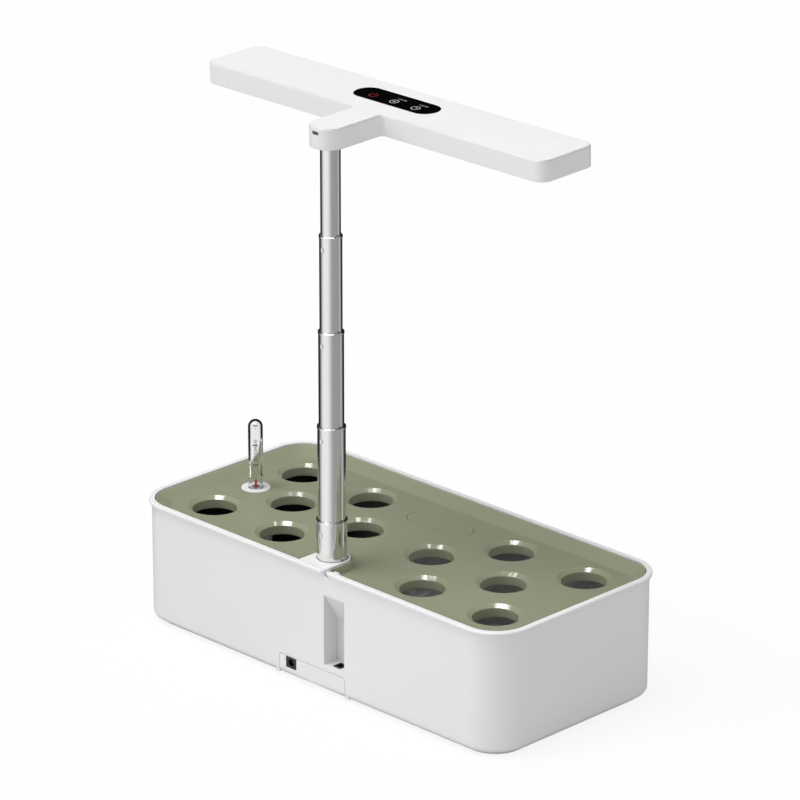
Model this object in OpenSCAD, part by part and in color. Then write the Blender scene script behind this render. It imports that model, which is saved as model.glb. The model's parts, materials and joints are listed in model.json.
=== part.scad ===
/* [Tank] */
// Length of the tank over its walls
tank_l = 395; // [390:1:440]
// Width of the tank over its walls
tank_w = 185.5; // [184:0.5:210]
// Height of the tank's rim above the table
tank_h = 102.7; // [100:0.1:125]
// Thickness of the tank's walls and floor
wall_t = 2.4; // [2:0.1:2.8]
// Radius of the tank's upright corners, outside
corner_r = 29.5; // [26:0.5:36]
// Radius of the tank's bottom edge, outside
bottom_r = 5; // [4:0.5:6]
// Overhang of the rim's lip
lip_out = 2.2; // [1.5:0.1:3]
// Height of the rim's lip
lip_h = 3; // [2.5:0.1:4]

/* [Plinth and feet] */
// Inset of the plinth behind the tank's walls
plinth_inset = 6.5; // [6:0.5:9]
// Thickness of the base cover that forms the plinth
cover_t = 2.4; // [2:0.1:3]
// Radius of a rubber foot
foot_r = 6; // [4:0.5:8]
// Height that a rubber foot stands proud of the base cover
foot_proud = 0.6; // [0.4:0.1:1]

/* [Deck] */
// Depth of the flat deck below the rim
deck_drop = 7.2; // [6:0.1:9]
// Thickness of the deck
deck_t = 2.2; // [2:0.1:2.6]
// Width of the sloping border round the deck
border_w = 12; // [10:0.5:13]
// Gap between the deck and the tank's wall
deck_gap = 0.8; // [0.4:0.1:1.2]
// Radius of a pod hole
pod_r = 17.6; // [15:0.1:18.2]
// Distance from the tank's end to the middle of the nearest pods
pod_end = 43.9; // [42:0.1:46]
// Distance from the tank's long side to the middle of the nearest pods
pod_side = 43.75; // [42.5:0.05:45.5]
// Width of the chamfer round a pod hole
chamfer_w = 3.8; // [2:0.1:4]
// Depth of the chamfer round a pod hole
chamfer_h = 2.5; // [1.5:0.1:3]
// Depth of the straight collar below the chamfer
collar_h = 7.2; // [5:0.1:9]

/* [Refill lid] */
// Length of the lid
lid_l = 63; // [50:1:68]
// Width of the lid
lid_w = 24.4; // [20:0.2:25]
// Thickness of the lid
lid_t = 2.6; // [2.4:0.1:3]
// Distance from the lid's middle to its pivot
pivot_x = 16; // [12:0.5:18]

/* [Water gauge] */
// Distance from the tank's end wall to the gauge
gauge_inset = 39.5; // [38:0.5:42]
// Radius of the clear tube
gauge_r = 5.9; // [5:0.1:6.5]
// Height of the clear tube's top above the deck
gauge_h = 58.2; // [40:0.1:60]
// Radius of the gauge's flange
flange_r = 11.65; // [11:0.05:12.5]
// Radius of the float
float_r = 10.6; // [8:0.1:11]
// Height of the float
float_h = 16; // [10:0.5:20]
// Height of the red rod's tip above the deck when the tank is empty
tip_h = 6.4; // [5:0.1:8]

/* [Mast] */
// Distance from the tank's rear wall to the mast
mast_inset = 23.15; // [22.5:0.05:24]
// Outer radius of the lowest tube
tube_r = 11.85; // [11:0.05:12]
// Gap between a tube's wall and the next tube inside it
nest_gap = 0.53; // [0.45:0.01:0.6]
// Wall thickness of a tube
tube_t = 0.5; // [0.4:0.05:0.55]
// Height of the lowest tube's collar above the table
mast_low = 135; // [125:0.5:150]
// Length of tube that shows on each of the middle stages
stage_h = 76.33; // [74:0.01:90]
// Length of tube that shows on the top stage
top_stage_h = 70.55; // [70:0.05:90]
// Height of a collar
ring_h = 2; // [1.5:0.1:2.5]
// Width of the groove that stops the tubes from turning
groove_w = 3.4; // [3:0.1:4]
// Depth of that groove
groove_d = 0.9; // [0.6:0.1:1]
// Distance from a collar's top to the middle of the crimp below it
crimp_drop = 11; // [9:0.5:13]

/* [Lamp] */
// Length of the lamp bar
bar_l = 357.2; // [300:0.2:420]
// Width of the lamp bar
bar_w = 57.2; // [54:0.2:70]
// Height of the lamp
lamp_h = 16.4; // [16:0.1:20]
// Corner radius of the lamp bar
bar_r = 9.5; // [6:0.5:20]
// Distance from the mast to the near edge of the lamp bar
arm_l = 39.9; // [32:0.1:50]
// Width of the arm that reaches the mast
arm_w = 29.4; // [26.5:0.1:32]
// Distance from the mast to the arm's end
arm_end = 15.4; // [14.5:0.1:17]
// Corner radius of the arm's end
arm_r = 14.2; // [6:0.1:14.2]
// Radius of the fillets where the arm meets the bar
arm_fillet = 4; // [2:0.5:16]
// Wall thickness of the lamp's shell
shell_t = 2; // [1.6:0.1:2.4]
// Length of the touch panel
panel_l = 83; // [60:1:100]
// Width of the touch panel
panel_w = 23.6; // [20:0.2:30]
// Angle by which the far side of the lamp stands up, against its sag
lamp_tilt = 1.5; // [0:0.1:2]

/* [Back wall] */
// Width of the control cover
ctrl_w = 72; // [60:1:80]
// Height of the control cover's top above the table
ctrl_top = 19.3; // [18:0.1:20]
// Distance from the tank's middle to the middle of the control cover
ctrl_x = 1; // [0:0.5:2]
// Width of the power socket's face
jack_w = 11; // [9:0.1:12]
// Height of the power socket's face
jack_h = 9; // [8:0.1:9.4]
// Distance from the control cover's end to the power socket
jack_inset = 7.5; // [5:0.5:12]
// Width of the cable recess
niche_w = 22; // [18:0.5:24]
// Depth of the cable recess
niche_d = 14; // [11:0.5:15]
// Height of the recess's ledge above the table
niche_low = 24.5; // [23:0.5:26]
// Height of the recess's top at the wall's face
niche_top = 82.5; // [70:0.5:84]
// Height of the recess's top at its back
niche_back = 58; // [45:0.5:62]

/* [Hidden] */
$fn = 64;
// Cuts run past the faces that they open by this much
over = 1;
// Faces that are joined overlap by this much
join = 0.5;
// Gap between pieces that fit tightly, between seated pieces, and where pieces slide past
fit_gap = 0.05;
seat_gap = 0.2;
slide_gap = 0.3;

// Levels
z0 = foot_proud + cover_t;
floor_z = z0 + wall_t;
deck_z = tank_h - deck_drop;
edge_low = 0.9;
deck_top = tank_h - edge_low;

// Rim and wall
lip_round = 1;
half_l = tank_l / 2;
half_w = tank_w / 2;
inner_l = tank_l - 2 * wall_t;
inner_w = tank_w - 2 * wall_t;
inner_r = corner_r - wall_t;

// Deck edge: a level land on top of the slope, and a skirt that hangs inside the wall
land_w = 1;
skirt_t = 1.8;
skirt_h = 14;
skirt_z = deck_top - skirt_h;
deck_l = inner_l - 2 * deck_gap;
deck_w = inner_w - 2 * deck_gap;
deck_r = inner_r - deck_gap;
slope = (deck_top - deck_z) / (border_w - land_w);
slope_t = deck_t * sqrt(1 + slope * slope);
pod_wall = 1.8;
pod_pitch = (half_l - pod_end) / 4;
pod_row = half_w - pod_side;
pod_bottom = deck_z - chamfer_h - collar_h;
outer_columns = [-4, -2, 2, 4];
middle_columns = [-3, -1, 1, 3];
rib_t = 1.6;
rib_h = 4.6;

// Brackets inside the wall that carry the deck
gusset_w = 10;
gusset_d = 4;
gusset_h = 9;
gusset_x = pod_pitch * 1.6;
gusset_far_x = pod_pitch * 3.4;
gusset_y = pod_row * 0.8;

// Refill lid
lid_y = pod_row;
lid_gap = 0.5;
well_t = 1.8;
well_h = 9;
pin_r = 1;
pin_gap = 0.06;
pin_l = lid_gap + 0.7 * well_t;
pin_drop = 1.8;
ledge_w = 2;
ledge_t = 1.6;

// Water gauge
gauge_x = -(half_l - gauge_inset);
gauge_t = 1;
gauge_seat = 5;
gauge_proud = 0.4;
flange_t = 1.6;
flange_gap = 0.25;
flange_z = deck_z + gauge_proud - flange_t;
eye_r = 4.4;
spigot_r = 7.8;
spigot_h = 10;
boss_t = 1.8;
boss_h = 2.2;
boss_z = deck_z - deck_t - boss_h;
guide_t = 1.4;
guide_gap = 0.6;
guide_r = float_r + guide_gap + guide_t;
guide_up = 3;
guide_z = floor_z + guide_up;
guide_head = 3;
cross_w = 2.4;
cross_h = 2;
window_w = 8;
window_rows = 3;
window_gap = 5;
float_z = guide_z + cross_h + slide_gap;
rod_r = 0.9;
rod_seat = 6;
bead_r = 2;
bead_h = 0.8;
bead_z = deck_z + gauge_proud;

// Mast
tubes = 5;
mast_y = half_w - mast_inset;
tube_step = tube_t + nest_gap;
shelf_up = 9.5;
shelf_z = niche_low + shelf_up;
column_t = 2;
column_r = tube_r + fit_gap + column_t;
wire_r = 4.2;
ring_out = 0.35;
ring_gap = 0.12;
ring_edge = 0.5;
bush_h = 3.5;
bush_plug = 2.8;
bush_gap = 0.07;
crimp_r = 2.5;
crimp_d = 0.3;
crimp_ball = (crimp_r * crimp_r + crimp_d * crimp_d) / (2 * crimp_d);
overlap = crimp_drop + crimp_r + slide_gap + bush_h;
mast_place = [0, -mast_y, 0];

// Bracket plate at the mast's foot
plate_t = 3;
plate_proud = 0.2;
plate_out = 0.65;
plate_r = column_r + plate_out;
plate_play = 0.6;
plate_hole = tube_r + plate_play;
plate_z = tank_h + plate_proud - plate_t;
ear_l = 10;
ear_w = 5.4;
ear_drop = 2;
ear_slot = 4;
notch_gap = 0.5;
notch_r = plate_r + notch_gap;
upstand_t = 1.6;
cord_w = 6;
cord_x = plate_r + 0.4 * cord_w;

// Dry bay behind the control cover, open below
bay_side = 1.6;
bay_l = ctrl_w + 2 * bay_side;
bay_d = 38;
bay_top = niche_low;
niche_x = ctrl_x + ctrl_w / 2 - niche_w / 2 - 0.3 * bay_side;
gap_line = 0.3;
ctrl_r = 2.5;
plinth_w = ctrl_w;
plinth_d = 5;
strip_d = 6;

// Power socket, board and pump socket
jack_d = 13;
jack_hole = 2.9;
jack_hole_d = 9;
jack_pin = 1;
jack_pin_l = 7;
board_t = 1.6;
board_z = z0 + 5;
jack_z = board_z + board_t;
board_gap = 4;
board_d = bay_d - 2 * board_gap;
post_r = 3;
post_in = 5;
post_front = 16.5;
screw_r = 1.3;
head_r = 2.6;
head_h = 1.4;
screw_l = 7;
board_screw_l = 4;
chip_s = 9;
chip_h = 1.6;
cap_r = 4;
cap_h = 9;
plug_l = 7.7;
plug_w = 8.2;
plug_h = 10;
plug_proud = 0.4;
plug_wall = 1.2;
plug_deep = 8;
plug_pin = 0.8;
plug_pin_h = 3;
plug_y = -half_w + wall_t + 2 * fit_gap + seat_gap + plug_w / 2;
plug_x = niche_x;

// Screws that hold the base cover
boss_r = 4;
boss_up = 7;
foot_in = 20;
foot_pocket = 1.4;
foot_x = half_l - plinth_inset - foot_in;
foot_y = half_w - plinth_inset - foot_in;
screw_out = 31;
screw_back = 6.25;
screw_share = 0.3626;
screw_columns = [screw_out - foot_x, -screw_share * foot_x, screw_share * foot_x,
    foot_x - screw_out];
screw_y = foot_y - screw_back;

// Pump: a housing on four suckers, with its rotor lying along Y
pump_x = 6;
pump_y = 8;
pump_l = 36;
pump_w = 30;
pump_h = 42;
pump_r = 6;
cup_h = 7.6;
cup_r = 7;
cup_neck = 3;
cup_t = 1.4;
cup_share = 0.55;
pump_z = floor_z + cup_h;
front_y = pump_y - pump_w / 2;
axle_up = 19;
axle_z = pump_z + axle_up;
chamber_r = 11.5;
chamber_d = 7;
rotor_r = 6.2;
rotor_gap = 0.4;
rotor_l = 17;
rotor_end = 0.6;
vane_r = 10.2;
vane_t = 1.6;
vane_d = 5.9;
vanes = 5;
hub_r = 3.2;
axle_r = 1;
axle_gap = 0.06;
axle_seat = 3;
face_t = 3;
face_l = 31;
face_h = 34;
inlet_r = 6;
spoke_w = 1.8;
spout_r = 4;
spout_t = 1.5;
spout_h = 9;
spout_x = pump_x + chamber_r - spout_r;
spout_y = front_y + spout_r + spout_t;
riser_t = 1.4;
riser_seat = 11;
riser_z = pump_z + pump_h;
riser_room = 2;
riser_top = pod_bottom - riser_room;
slot_h = 4;
slot_w = 2;
riser_slots = 6;
strainer_d = 7;
strainer_t = 1.6;
strainer_bars = 7;
gland_r = 4;
gland_h = 6;

// Lamp
lamp_z = mast_low + 3 * stage_h + top_stage_h;
bar_y = arm_l + bar_w / 2 - mast_y;
bar_near = arm_l - mast_y;
edge_r = 1.2;
edge_layers = 4;
edge_in_shares = [0, 0.075, 0.3, 0.625, 1];
lid_plate = 2;
roof_z = lamp_z + lamp_h - shell_t;
window_end = 7.5;
window_side = 10.3;
window_l = bar_l - 2 * window_end;
window_wd = bar_w - 2 * window_side;
flange_lamp = 1.4;
flange_lamp_t = 1;
board_drop = 5;
led_board_t = 1.2;
led_l = 3.5;
led_w = 2.8;
led_h = 0.8;
led_columns = 24;
led_row = 10;
led_step = (window_l - 3 * led_l) / led_columns;
led_z = roof_z - board_drop - led_board_t;
lamp_posts = [-0.46, -0.155, 0.155, 0.46];
lamp_post_r = 3.4;
lamp_post_y = bar_w / 2 - shell_t - 2 * seat_gap - head_r;
pocket_d = 1;
panel_proud = 0.1;
panel_shift = 2.1;
panel_y = bar_y + panel_shift;
touch_l = 60;
touch_w = 18;
touch_t = 1.2;
socket_t = 2.4;
port_w = 6.2;
port_h = 2.7;
port_d = 3;
port_in = 0.3;
port_up = 12.4;
port_z = lamp_z + port_up;
port_ribs = 3;
port_rib = 0.6;

// Shapes that more than one piece uses

// A flat slab with four rounded upright corners
module round_slab(l, w, r, h) {
    translate([r - l / 2, -w / 2, 0]) cube([l - 2 * r, w, h]);
    translate([-l / 2, r - w / 2, 0]) cube([l, w - 2 * r, h]);
    for (x = [-1, 1], y = [-1, 1])
        translate([x * (l / 2 - r), y * (w / 2 - r), 0]) cylinder(r = r, h = h);
}

// A slab with two half-round ends
module stadium(l, w, h) {
    translate([(w - l) / 2, -w / 2, 0]) cube([l - w, w, h]);
    for (x = [-1, 1]) translate([x * (l - w) / 2, 0, 0]) cylinder(r = w / 2, h = h);
}

// A profile carried round a rectangle with rounded corners.
// The profile's x runs outwards from the corners' centres and its y runs up.
module round_sweep(l, w, r) {
    cx = l / 2 - r;
    cy = w / 2 - r;
    for (k = [0 : 3])
        translate([k == 0 || k == 3 ? cx : -cx, k < 2 ? cy : -cy, 0])
            rotate(90 * k) rotate_extrude(angle = 90) children();
    for (turn = [0, 180]) {
        rotate(turn) translate([-cx, cy, 0]) rotate([90, 0, 90])
            linear_extrude(2 * cx) children();
        rotate(turn) translate([cx, cy, 0]) rotate([90, 0, 0])
            linear_extrude(2 * cy) children();
    }
}

// A countersunk screw, head down, with the top of its head at z = 0
module screw(length) {
    cylinder(r = head_r, h = head_h);
    cylinder(r = screw_r, h = length);
}

module for_screws() {
    for (x = screw_columns, y = [-screw_y, screw_y]) translate([x, y, 0]) children();
}

module for_posts() {
    for (x = [-1, 1], y = [0, 1])
        translate([ctrl_x + x * (bay_l / 2 - post_in - bay_side),
            y * (bay_d - board_gap - post_in - post_front) - half_w + post_front, 0])
            children();
}

// Tank

// Section of the wall: round bottom edge, upright wall and rolled lip
module wall_section() {
    translate([corner_r - wall_t, z0 + bottom_r])
        square([wall_t, tank_h - z0 - bottom_r]);
    translate([corner_r - bottom_r, z0 + bottom_r]) intersection() {
        difference() {
            circle(r = bottom_r);
            circle(r = bottom_r - wall_t);
        }
        translate([0, -bottom_r]) square(bottom_r);
    }
    translate([corner_r - wall_t, tank_h - lip_h])
        square([wall_t + lip_out - lip_round, lip_h]);
    translate([corner_r - wall_t, tank_h - lip_h + lip_round])
        square([wall_t + lip_out, lip_h - 2 * lip_round]);
    for (z = [lip_round, lip_h - lip_round])
        translate([corner_r + lip_out - lip_round, tank_h - z]) circle(r = lip_round);
}

module tank_skin() {
    round_sweep(tank_l, tank_w, corner_r) wall_section();
    translate([0, 0, z0])
        round_slab(tank_l - 2 * bottom_r + join, tank_w - 2 * bottom_r + join,
            corner_r - bottom_r + join / 2, wall_t);
}

// The opening in the skin that the control cover fills, or the cover's own share of it
module control_window(gap) {
    hw = ctrl_w / 2 + gap;
    r = ctrl_r + gap;
    translate([ctrl_x, bottom_r + strip_d + gap - half_w, 0]) rotate([90, 0, 0])
        linear_extrude(bottom_r + strip_d + lip_out + gap) {
            translate([-hw, 0]) square([2 * hw, ctrl_top + gap - r]);
            translate([r - hw, 0]) square([2 * hw - 2 * r, ctrl_top + gap]);
            for (s = [-1, 1]) translate([s * (hw - r), ctrl_top + gap - r]) circle(r = r);
        }
}

// Side view of the cable recess: upright back, sloping roof
module niche_side() {
    rise = (niche_top - niche_back) / niche_d;
    polygon([[-half_w - over, niche_low], [niche_d - half_w, niche_low],
        [niche_d - half_w, niche_back], [-half_w - over, niche_top + over * rise]]);
}

module niche_skin() {
    rise = (niche_top - niche_back) / niche_d;
    up = wall_t * sqrt(1 + rise * rise);
    back = niche_d + wall_t - half_w;
    polygon([[-half_w + join, niche_low - wall_t], [back, niche_low - wall_t],
        [back, niche_top + up - rise * (niche_d + wall_t)],
        [-half_w + join, niche_top + up - rise * join]]);
}

module along_x(x, l) {
    translate([x - l / 2, 0, 0]) rotate([90, 0, 90]) linear_extrude(l) children();
}

// One bracket under the deck's skirt, standing off a wall at x = 0 towards +X
module gusset() {
    translate([0, gusset_w / 2, skirt_z - seat_gap]) rotate([90, 0, 0])
        linear_extrude(gusset_w)
            polygon([[-join, 0], [gusset_d, 0], [gusset_d, -gusset_d / 2],
                [-join, -gusset_h]]);
}

module gussets() {
    for (x = [-gusset_far_x, -gusset_x, gusset_x, gusset_far_x], s = [-1, 1])
        translate([x, s * inner_w / 2, 0]) rotate(-90 * s) gusset();
    for (s = [-1, 1], y = [-gusset_y, gusset_y])
        translate([s * inner_l / 2, y, 0]) rotate(s > 0 ? 180 : 0) gusset();
}

module tank() {
    color("whitesmoke") difference() {
        union() {
            tank_skin();
            gussets();
            translate([ctrl_x - bay_l / 2 - wall_t, -half_w + join, z0])
                cube([bay_l + 2 * wall_t, bay_d + 2 * wall_t - join, bay_top - z0]);
            along_x(niche_x, niche_w + 2 * wall_t) niche_skin();
            translate([0, -mast_y, bay_top - wall_t])
                cylinder(r = column_r, h = plate_z - bay_top + wall_t);
            for (x = [wall_t - column_r, niche_x - niche_w / 2])
                translate([x - wall_t, -half_w + join, bay_top - wall_t])
                    cube([wall_t, half_w - mast_y - join, deck_z - bay_top - deck_t]);
            for_screws() translate([0, 0, z0]) cylinder(r = boss_r, h = wall_t + boss_up);
        }
        translate([ctrl_x - bay_l / 2, wall_t - half_w, z0 - over])
            cube([bay_l, bay_d, bay_top - wall_t - z0 + over]);
        control_window(gap_line);
        along_x(niche_x, niche_w) niche_side();
        translate([0, -mast_y, shelf_z])
            cylinder(r = tube_r + fit_gap, h = tank_h);
        translate([0, -mast_y, z0]) cylinder(r = wire_r, h = shelf_z);
        for_screws() translate([0, 0, z0 - over])
            cylinder(r = screw_r + fit_gap, h = screw_l + over);
        translate([plug_x - plug_l / 2 - seat_gap, plug_y - plug_w / 2 - seat_gap, z0])
            cube([plug_l + 2 * seat_gap, plug_w + 2 * seat_gap, niche_low]);
        // Cord notch through the rim
        translate([cord_x, wall_t - half_w + over, tank_h - cord_w / 2]) rotate([90, 0, 0])
            cylinder(r = cord_w / 2, h = wall_t + lip_out + 2 * over);
        translate([cord_x - cord_w / 2, -half_w - lip_out - over, tank_h - cord_w / 2])
            cube([cord_w, wall_t + lip_out + 2 * over, cord_w]);
    }
}

// Plinth, feet and fasteners

module for_feet() {
    for (x = [-1, 0, 1], y = [-1, 1])
        translate([x * foot_x, y * foot_y, 0]) children();
}

module base_cover() {
    color("gainsboro") difference() {
        union() {
            translate([0, 0, foot_proud])
                round_slab(tank_l - 2 * plinth_inset, tank_w - 2 * plinth_inset,
                    corner_r - plinth_inset, cover_t);
            for_posts() translate([0, 0, foot_proud]) cylinder(r = post_r, h = board_z - foot_proud);
        }
        for_feet() cylinder(r = foot_r + seat_gap, h = foot_proud + foot_pocket);
        for_screws() {
            translate([0, 0, -over]) cylinder(r = head_r + seat_gap, h = foot_proud + head_h + over);
            cylinder(r = screw_r + seat_gap, h = z0 + over);
        }
        for_posts() translate([0, 0, board_z + board_t - board_screw_l])
            cylinder(r = screw_r + fit_gap, h = board_screw_l);
        translate([ctrl_x - plinth_w / 2 - gap_line, -half_w, 0])
            cube([plinth_w + 2 * gap_line, plinth_inset + plinth_d + gap_line, z0 + over]);
    }
}

module rubber_feet() {
    color("dimgray") for_feet() cylinder(r = foot_r, h = foot_proud + foot_pocket);
}

module base_screws() {
    color("silver") for_screws() translate([0, 0, foot_proud]) screw(screw_l);
}

// Control cover, power socket, board and pump socket

module jack_hole_at(gap) {
    translate([ctrl_x - ctrl_w / 2 + jack_inset - gap, -half_w - over, jack_z - gap])
        cube([jack_w + 2 * gap, jack_d, jack_h + 2 * gap]);
}

module control_cover() {
    color("white") difference() {
        union() {
            intersection() {
                tank_skin();
                control_window(0);
            }
            translate([ctrl_x - plinth_w / 2, plinth_inset - half_w, foot_proud])
                cube([plinth_w, plinth_d, cover_t]);
        }
        jack_hole_at(seat_gap);
    }
}

module dc_jack() {
    x = ctrl_x - ctrl_w / 2 + jack_inset;
    color("black") {
        difference() {
            translate([x, -half_w, jack_z]) cube([jack_w, jack_d, jack_h]);
            translate([x + jack_w / 2, -half_w + jack_hole_d, jack_z + jack_h / 2])
                rotate([90, 0, 0]) cylinder(r = jack_hole, h = jack_hole_d + over);
        }
        translate([x + jack_w / 2, -half_w + jack_hole_d + join, jack_z + jack_h / 2])
            rotate([90, 0, 0]) cylinder(r = jack_pin, h = jack_pin_l + join);
    }
}

module control_board() {
    back = -half_w + board_gap;
    color("darkgreen") difference() {
        translate([ctrl_x - bay_l / 2 + bay_side, back, board_z])
            cube([bay_l - 2 * bay_side, board_d, board_t]);
        for_posts() translate([0, 0, board_z - over])
            cylinder(r = screw_r + seat_gap, h = board_t + 2 * over);
    }
    color("black") for (k = [0, 1])
        translate([ctrl_x + k * 1.6 * chip_s, back + board_d / 2, board_z + board_t])
            cube([chip_s, chip_s, chip_h]);
    color("steelblue") translate([ctrl_x - chip_s, back + board_d / 2, board_z + board_t])
        cylinder(r = cap_r, h = cap_h);
}

module board_screws() {
    color("silver") for_posts() translate([0, 0, board_z + board_t + head_h])
        mirror([0, 0, 1]) screw(board_screw_l + head_h);
}

module pump_socket() {
    top = niche_low + plug_proud;
    color("black") {
        difference() {
            translate([plug_x - plug_l / 2, plug_y - plug_w / 2, top - plug_h])
                cube([plug_l, plug_w, plug_h]);
            translate([plug_x - plug_l / 2 + plug_wall, plug_y - plug_w / 2 + plug_wall,
                top - plug_deep])
                cube([plug_l - 2 * plug_wall, plug_w - 2 * plug_wall, plug_h]);
        }
        for (s = [-1, 1])
            translate([plug_x - plug_pin / 2, plug_y + s * plug_w / 5 - plug_pin / 2,
                top - plug_deep - join])
                cube([plug_pin, plug_pin, plug_pin_h + join]);
    }
}

// Mast

// The plate round the mast's foot, with an ear that guides the pump's cord to the rim
module mast_bracket() {
    back = half_w - wall_t - mast_y - seat_gap;
    color("whitesmoke") translate([0, -mast_y, plate_z]) difference() {
        union() {
            cylinder(r = plate_r, h = plate_t);
            translate([-plate_r, -back, 0]) cube([2 * plate_r, back, plate_t]);
            translate([plate_r - join, -back, -ear_drop])
                cube([ear_l + join, ear_w, plate_t]);
        }
        translate([0, 0, -over]) cylinder(r = plate_hole, h = plate_t + 2 * over);
        translate([cord_x - ear_slot / 2, -back + ear_w / 3, -ear_drop - over])
            cube([ear_slot, ear_w, plate_t + ear_drop + 2 * over]);
    }
}

// Section of a tube's outside: a circle with a flat-bottomed groove on its +X side
module keyed(r) {
    difference() {
        circle(r = r);
        polygon([[r - groove_d, groove_d - groove_w / 2], [r + over, -groove_w / 2 - over],
            [r + over, groove_w / 2 + over], [r - groove_d, groove_w / 2 - groove_d]]);
    }
}

function stage_r(n) = tube_r - (n - 1) * tube_step;
function collar_z(n) = mast_low + (n - 1) * stage_h;

// Tube n, from the bottom end of its wall to the top, with a crimp below its collar
module mast_tube(n) {
    r = stage_r(n);
    low = n == 1 ? shelf_z : collar_z(n - 1) - overlap + bush_h;
    high = n == tubes ? roof_z - 2 * slide_gap : collar_z(n) - ring_h;
    ball_y = crimp_ball + r - crimp_d;
    crimp_z = collar_z(n) - crimp_drop;
    color("silver") translate(mast_place) difference() {
        union() {
            translate([0, 0, low]) linear_extrude(high - low) difference() {
                keyed(r);
                keyed(r - tube_t);
            }
            if (n < tubes) intersection() {
                translate([0, -ball_y, crimp_z]) sphere(r = crimp_ball + tube_t);
                translate([0, 0, crimp_z - 2 * crimp_r])
                    cylinder(r = r - tube_t / 2, h = 4 * crimp_r);
            }
        }
        if (n < tubes) translate([0, -ball_y, crimp_z]) sphere(r = crimp_ball);
    }
}

// Collar on top of tube n, with a bevelled edge and a tooth that rides in the next groove
module mast_collar(n) {
    color("gainsboro") translate([0, -mast_y, collar_z(n) - ring_h]) difference() {
        union() {
            cylinder(r = stage_r(n) + ring_out, h = ring_h - ring_edge);
            translate([0, 0, ring_h - ring_edge])
                cylinder(r1 = stage_r(n) + ring_out, r2 = stage_r(n) + ring_out - ring_edge,
                    h = ring_edge);
        }
        translate([0, 0, -over]) linear_extrude(ring_h + 2 * over)
            keyed(stage_r(n + 1) + ring_gap);
        translate([stage_r(n) + ring_out - groove_d / 2, -groove_w / 4, -over])
            cube([groove_d, groove_w / 2, ring_h + 2 * over]);
    }
}

// Bush in the bottom end of tube n, sliding in tube n - 1
module slide_bush(n) {
    color("dimgray") translate([0, -mast_y, collar_z(n - 1) - overlap]) difference() {
        union() {
            linear_extrude(bush_h) keyed(stage_r(n - 1) - tube_t - bush_gap);
            linear_extrude(bush_h + bush_plug) keyed(stage_r(n) - tube_t - fit_gap);
        }
        translate([0, 0, -over]) cylinder(r = wire_r, h = bush_h + bush_plug + 2 * over);
    }
}

// Lamp, drawn level and then turned about the mast's top

module on_lamp() {
    translate([0, -mast_y, lamp_z]) rotate([lamp_tilt, 0, 0])
        translate([0, mast_y, -lamp_z]) children();
}

// Plan of the lamp, drawn in by a margin on every side
module lamp_plan(margin) {
    hw = arm_w / 2;
    end_r = min(arm_r, hw - join);
    tip = -mast_y - arm_end;
    translate([0, bar_y]) {
        square([bar_l - 2 * bar_r, bar_w - 2 * margin], center = true);
        square([bar_l - 2 * margin, bar_w - 2 * bar_r], center = true);
        for (x = [-1, 1], y = [-1, 1])
            translate([x * (bar_l / 2 - bar_r), y * (bar_w / 2 - bar_r)])
                circle(r = bar_r - margin);
    }
    translate([margin - hw, tip + end_r]) square([arm_w - 2 * margin, bar_y - tip - end_r]);
    translate([end_r - hw, tip + margin]) square([arm_w - 2 * end_r, end_r]);
    for (s = [-1, 1]) {
        translate([s * (hw - end_r), tip + end_r]) circle(r = end_r - margin);
        mirror([s < 0 ? 1 : 0, 0]) difference() {
            translate([0, bar_near - arm_fillet])
                square([hw + arm_fillet, arm_fillet + margin]);
            translate([hw + arm_fillet, bar_near - arm_fillet])
                circle(r = arm_fillet + margin);
        }
    }
}

module for_lamp_posts() {
    for (x = lamp_posts, y = [-1, 1])
        translate([x * bar_l, bar_y + y * lamp_post_y, 0]) children();
}

module lamp_shell() {
    color("white") on_lamp() difference() {
        union() {
            difference() {
                for (k = [0 : edge_layers])
                    translate([0, 0, lamp_z])
                        linear_extrude(lamp_h - edge_r + edge_r * sin(90 * k / edge_layers))
                            lamp_plan(edge_r * edge_in_shares[k]);
                translate([0, 0, lamp_z - over])
                    linear_extrude(lamp_h - shell_t + over) lamp_plan(shell_t);
            }
            for_lamp_posts() translate([0, 0, lamp_z + lid_plate])
                cylinder(r = lamp_post_r, h = lamp_h - lid_plate - join);
        }
        for_lamp_posts() translate([0, 0, lamp_z]) cylinder(r = screw_r + fit_gap, h = screw_l);
        translate([0, panel_y, lamp_z + lamp_h - pocket_d])
            stadium(panel_l + 2 * seat_gap, panel_w + 2 * seat_gap, lamp_h);
        translate([-port_w / 2 - fit_gap, -mast_y - arm_end - over, port_z - port_h / 2 - fit_gap])
            cube([port_w + 2 * fit_gap, over + port_in + port_d + fit_gap, port_h + 2 * fit_gap]);
    }
}

module lamp_cover() {
    color("whitesmoke") on_lamp() difference() {
        translate([0, 0, lamp_z]) linear_extrude(lid_plate) lamp_plan(shell_t + seat_gap);
        translate([0, bar_y, lamp_z - over])
            round_slab(window_l, window_wd, bar_r - shell_t, lid_plate + 2 * over);
        translate([0, -mast_y, lamp_z - over])
            cylinder(r = stage_r(tubes) + slide_gap, h = lid_plate + 2 * over);
        for_lamp_posts() {
            translate([0, 0, lamp_z - over]) cylinder(r = head_r + seat_gap, h = head_h / 2 + over);
            translate([0, 0, lamp_z]) cylinder(r = screw_r + seat_gap, h = lid_plate + over);
        }
    }
}

module lamp_screws() {
    color("silver") on_lamp() for_lamp_posts() translate([0, 0, lamp_z]) {
        cylinder(r = head_r, h = head_h / 2);
        cylinder(r = screw_r, h = screw_l);
    }
}

module diffuser() {
    color("ghostwhite") on_lamp() translate([0, bar_y, lamp_z]) {
        translate([0, 0, seat_gap])
            round_slab(window_l - 2 * seat_gap, window_wd - 2 * seat_gap,
                bar_r - shell_t - seat_gap, lid_plate);
        translate([0, 0, lid_plate])
            round_slab(window_l + 2 * flange_lamp, window_wd + 2 * flange_lamp,
                bar_r - shell_t, flange_lamp_t);
    }
}

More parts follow.
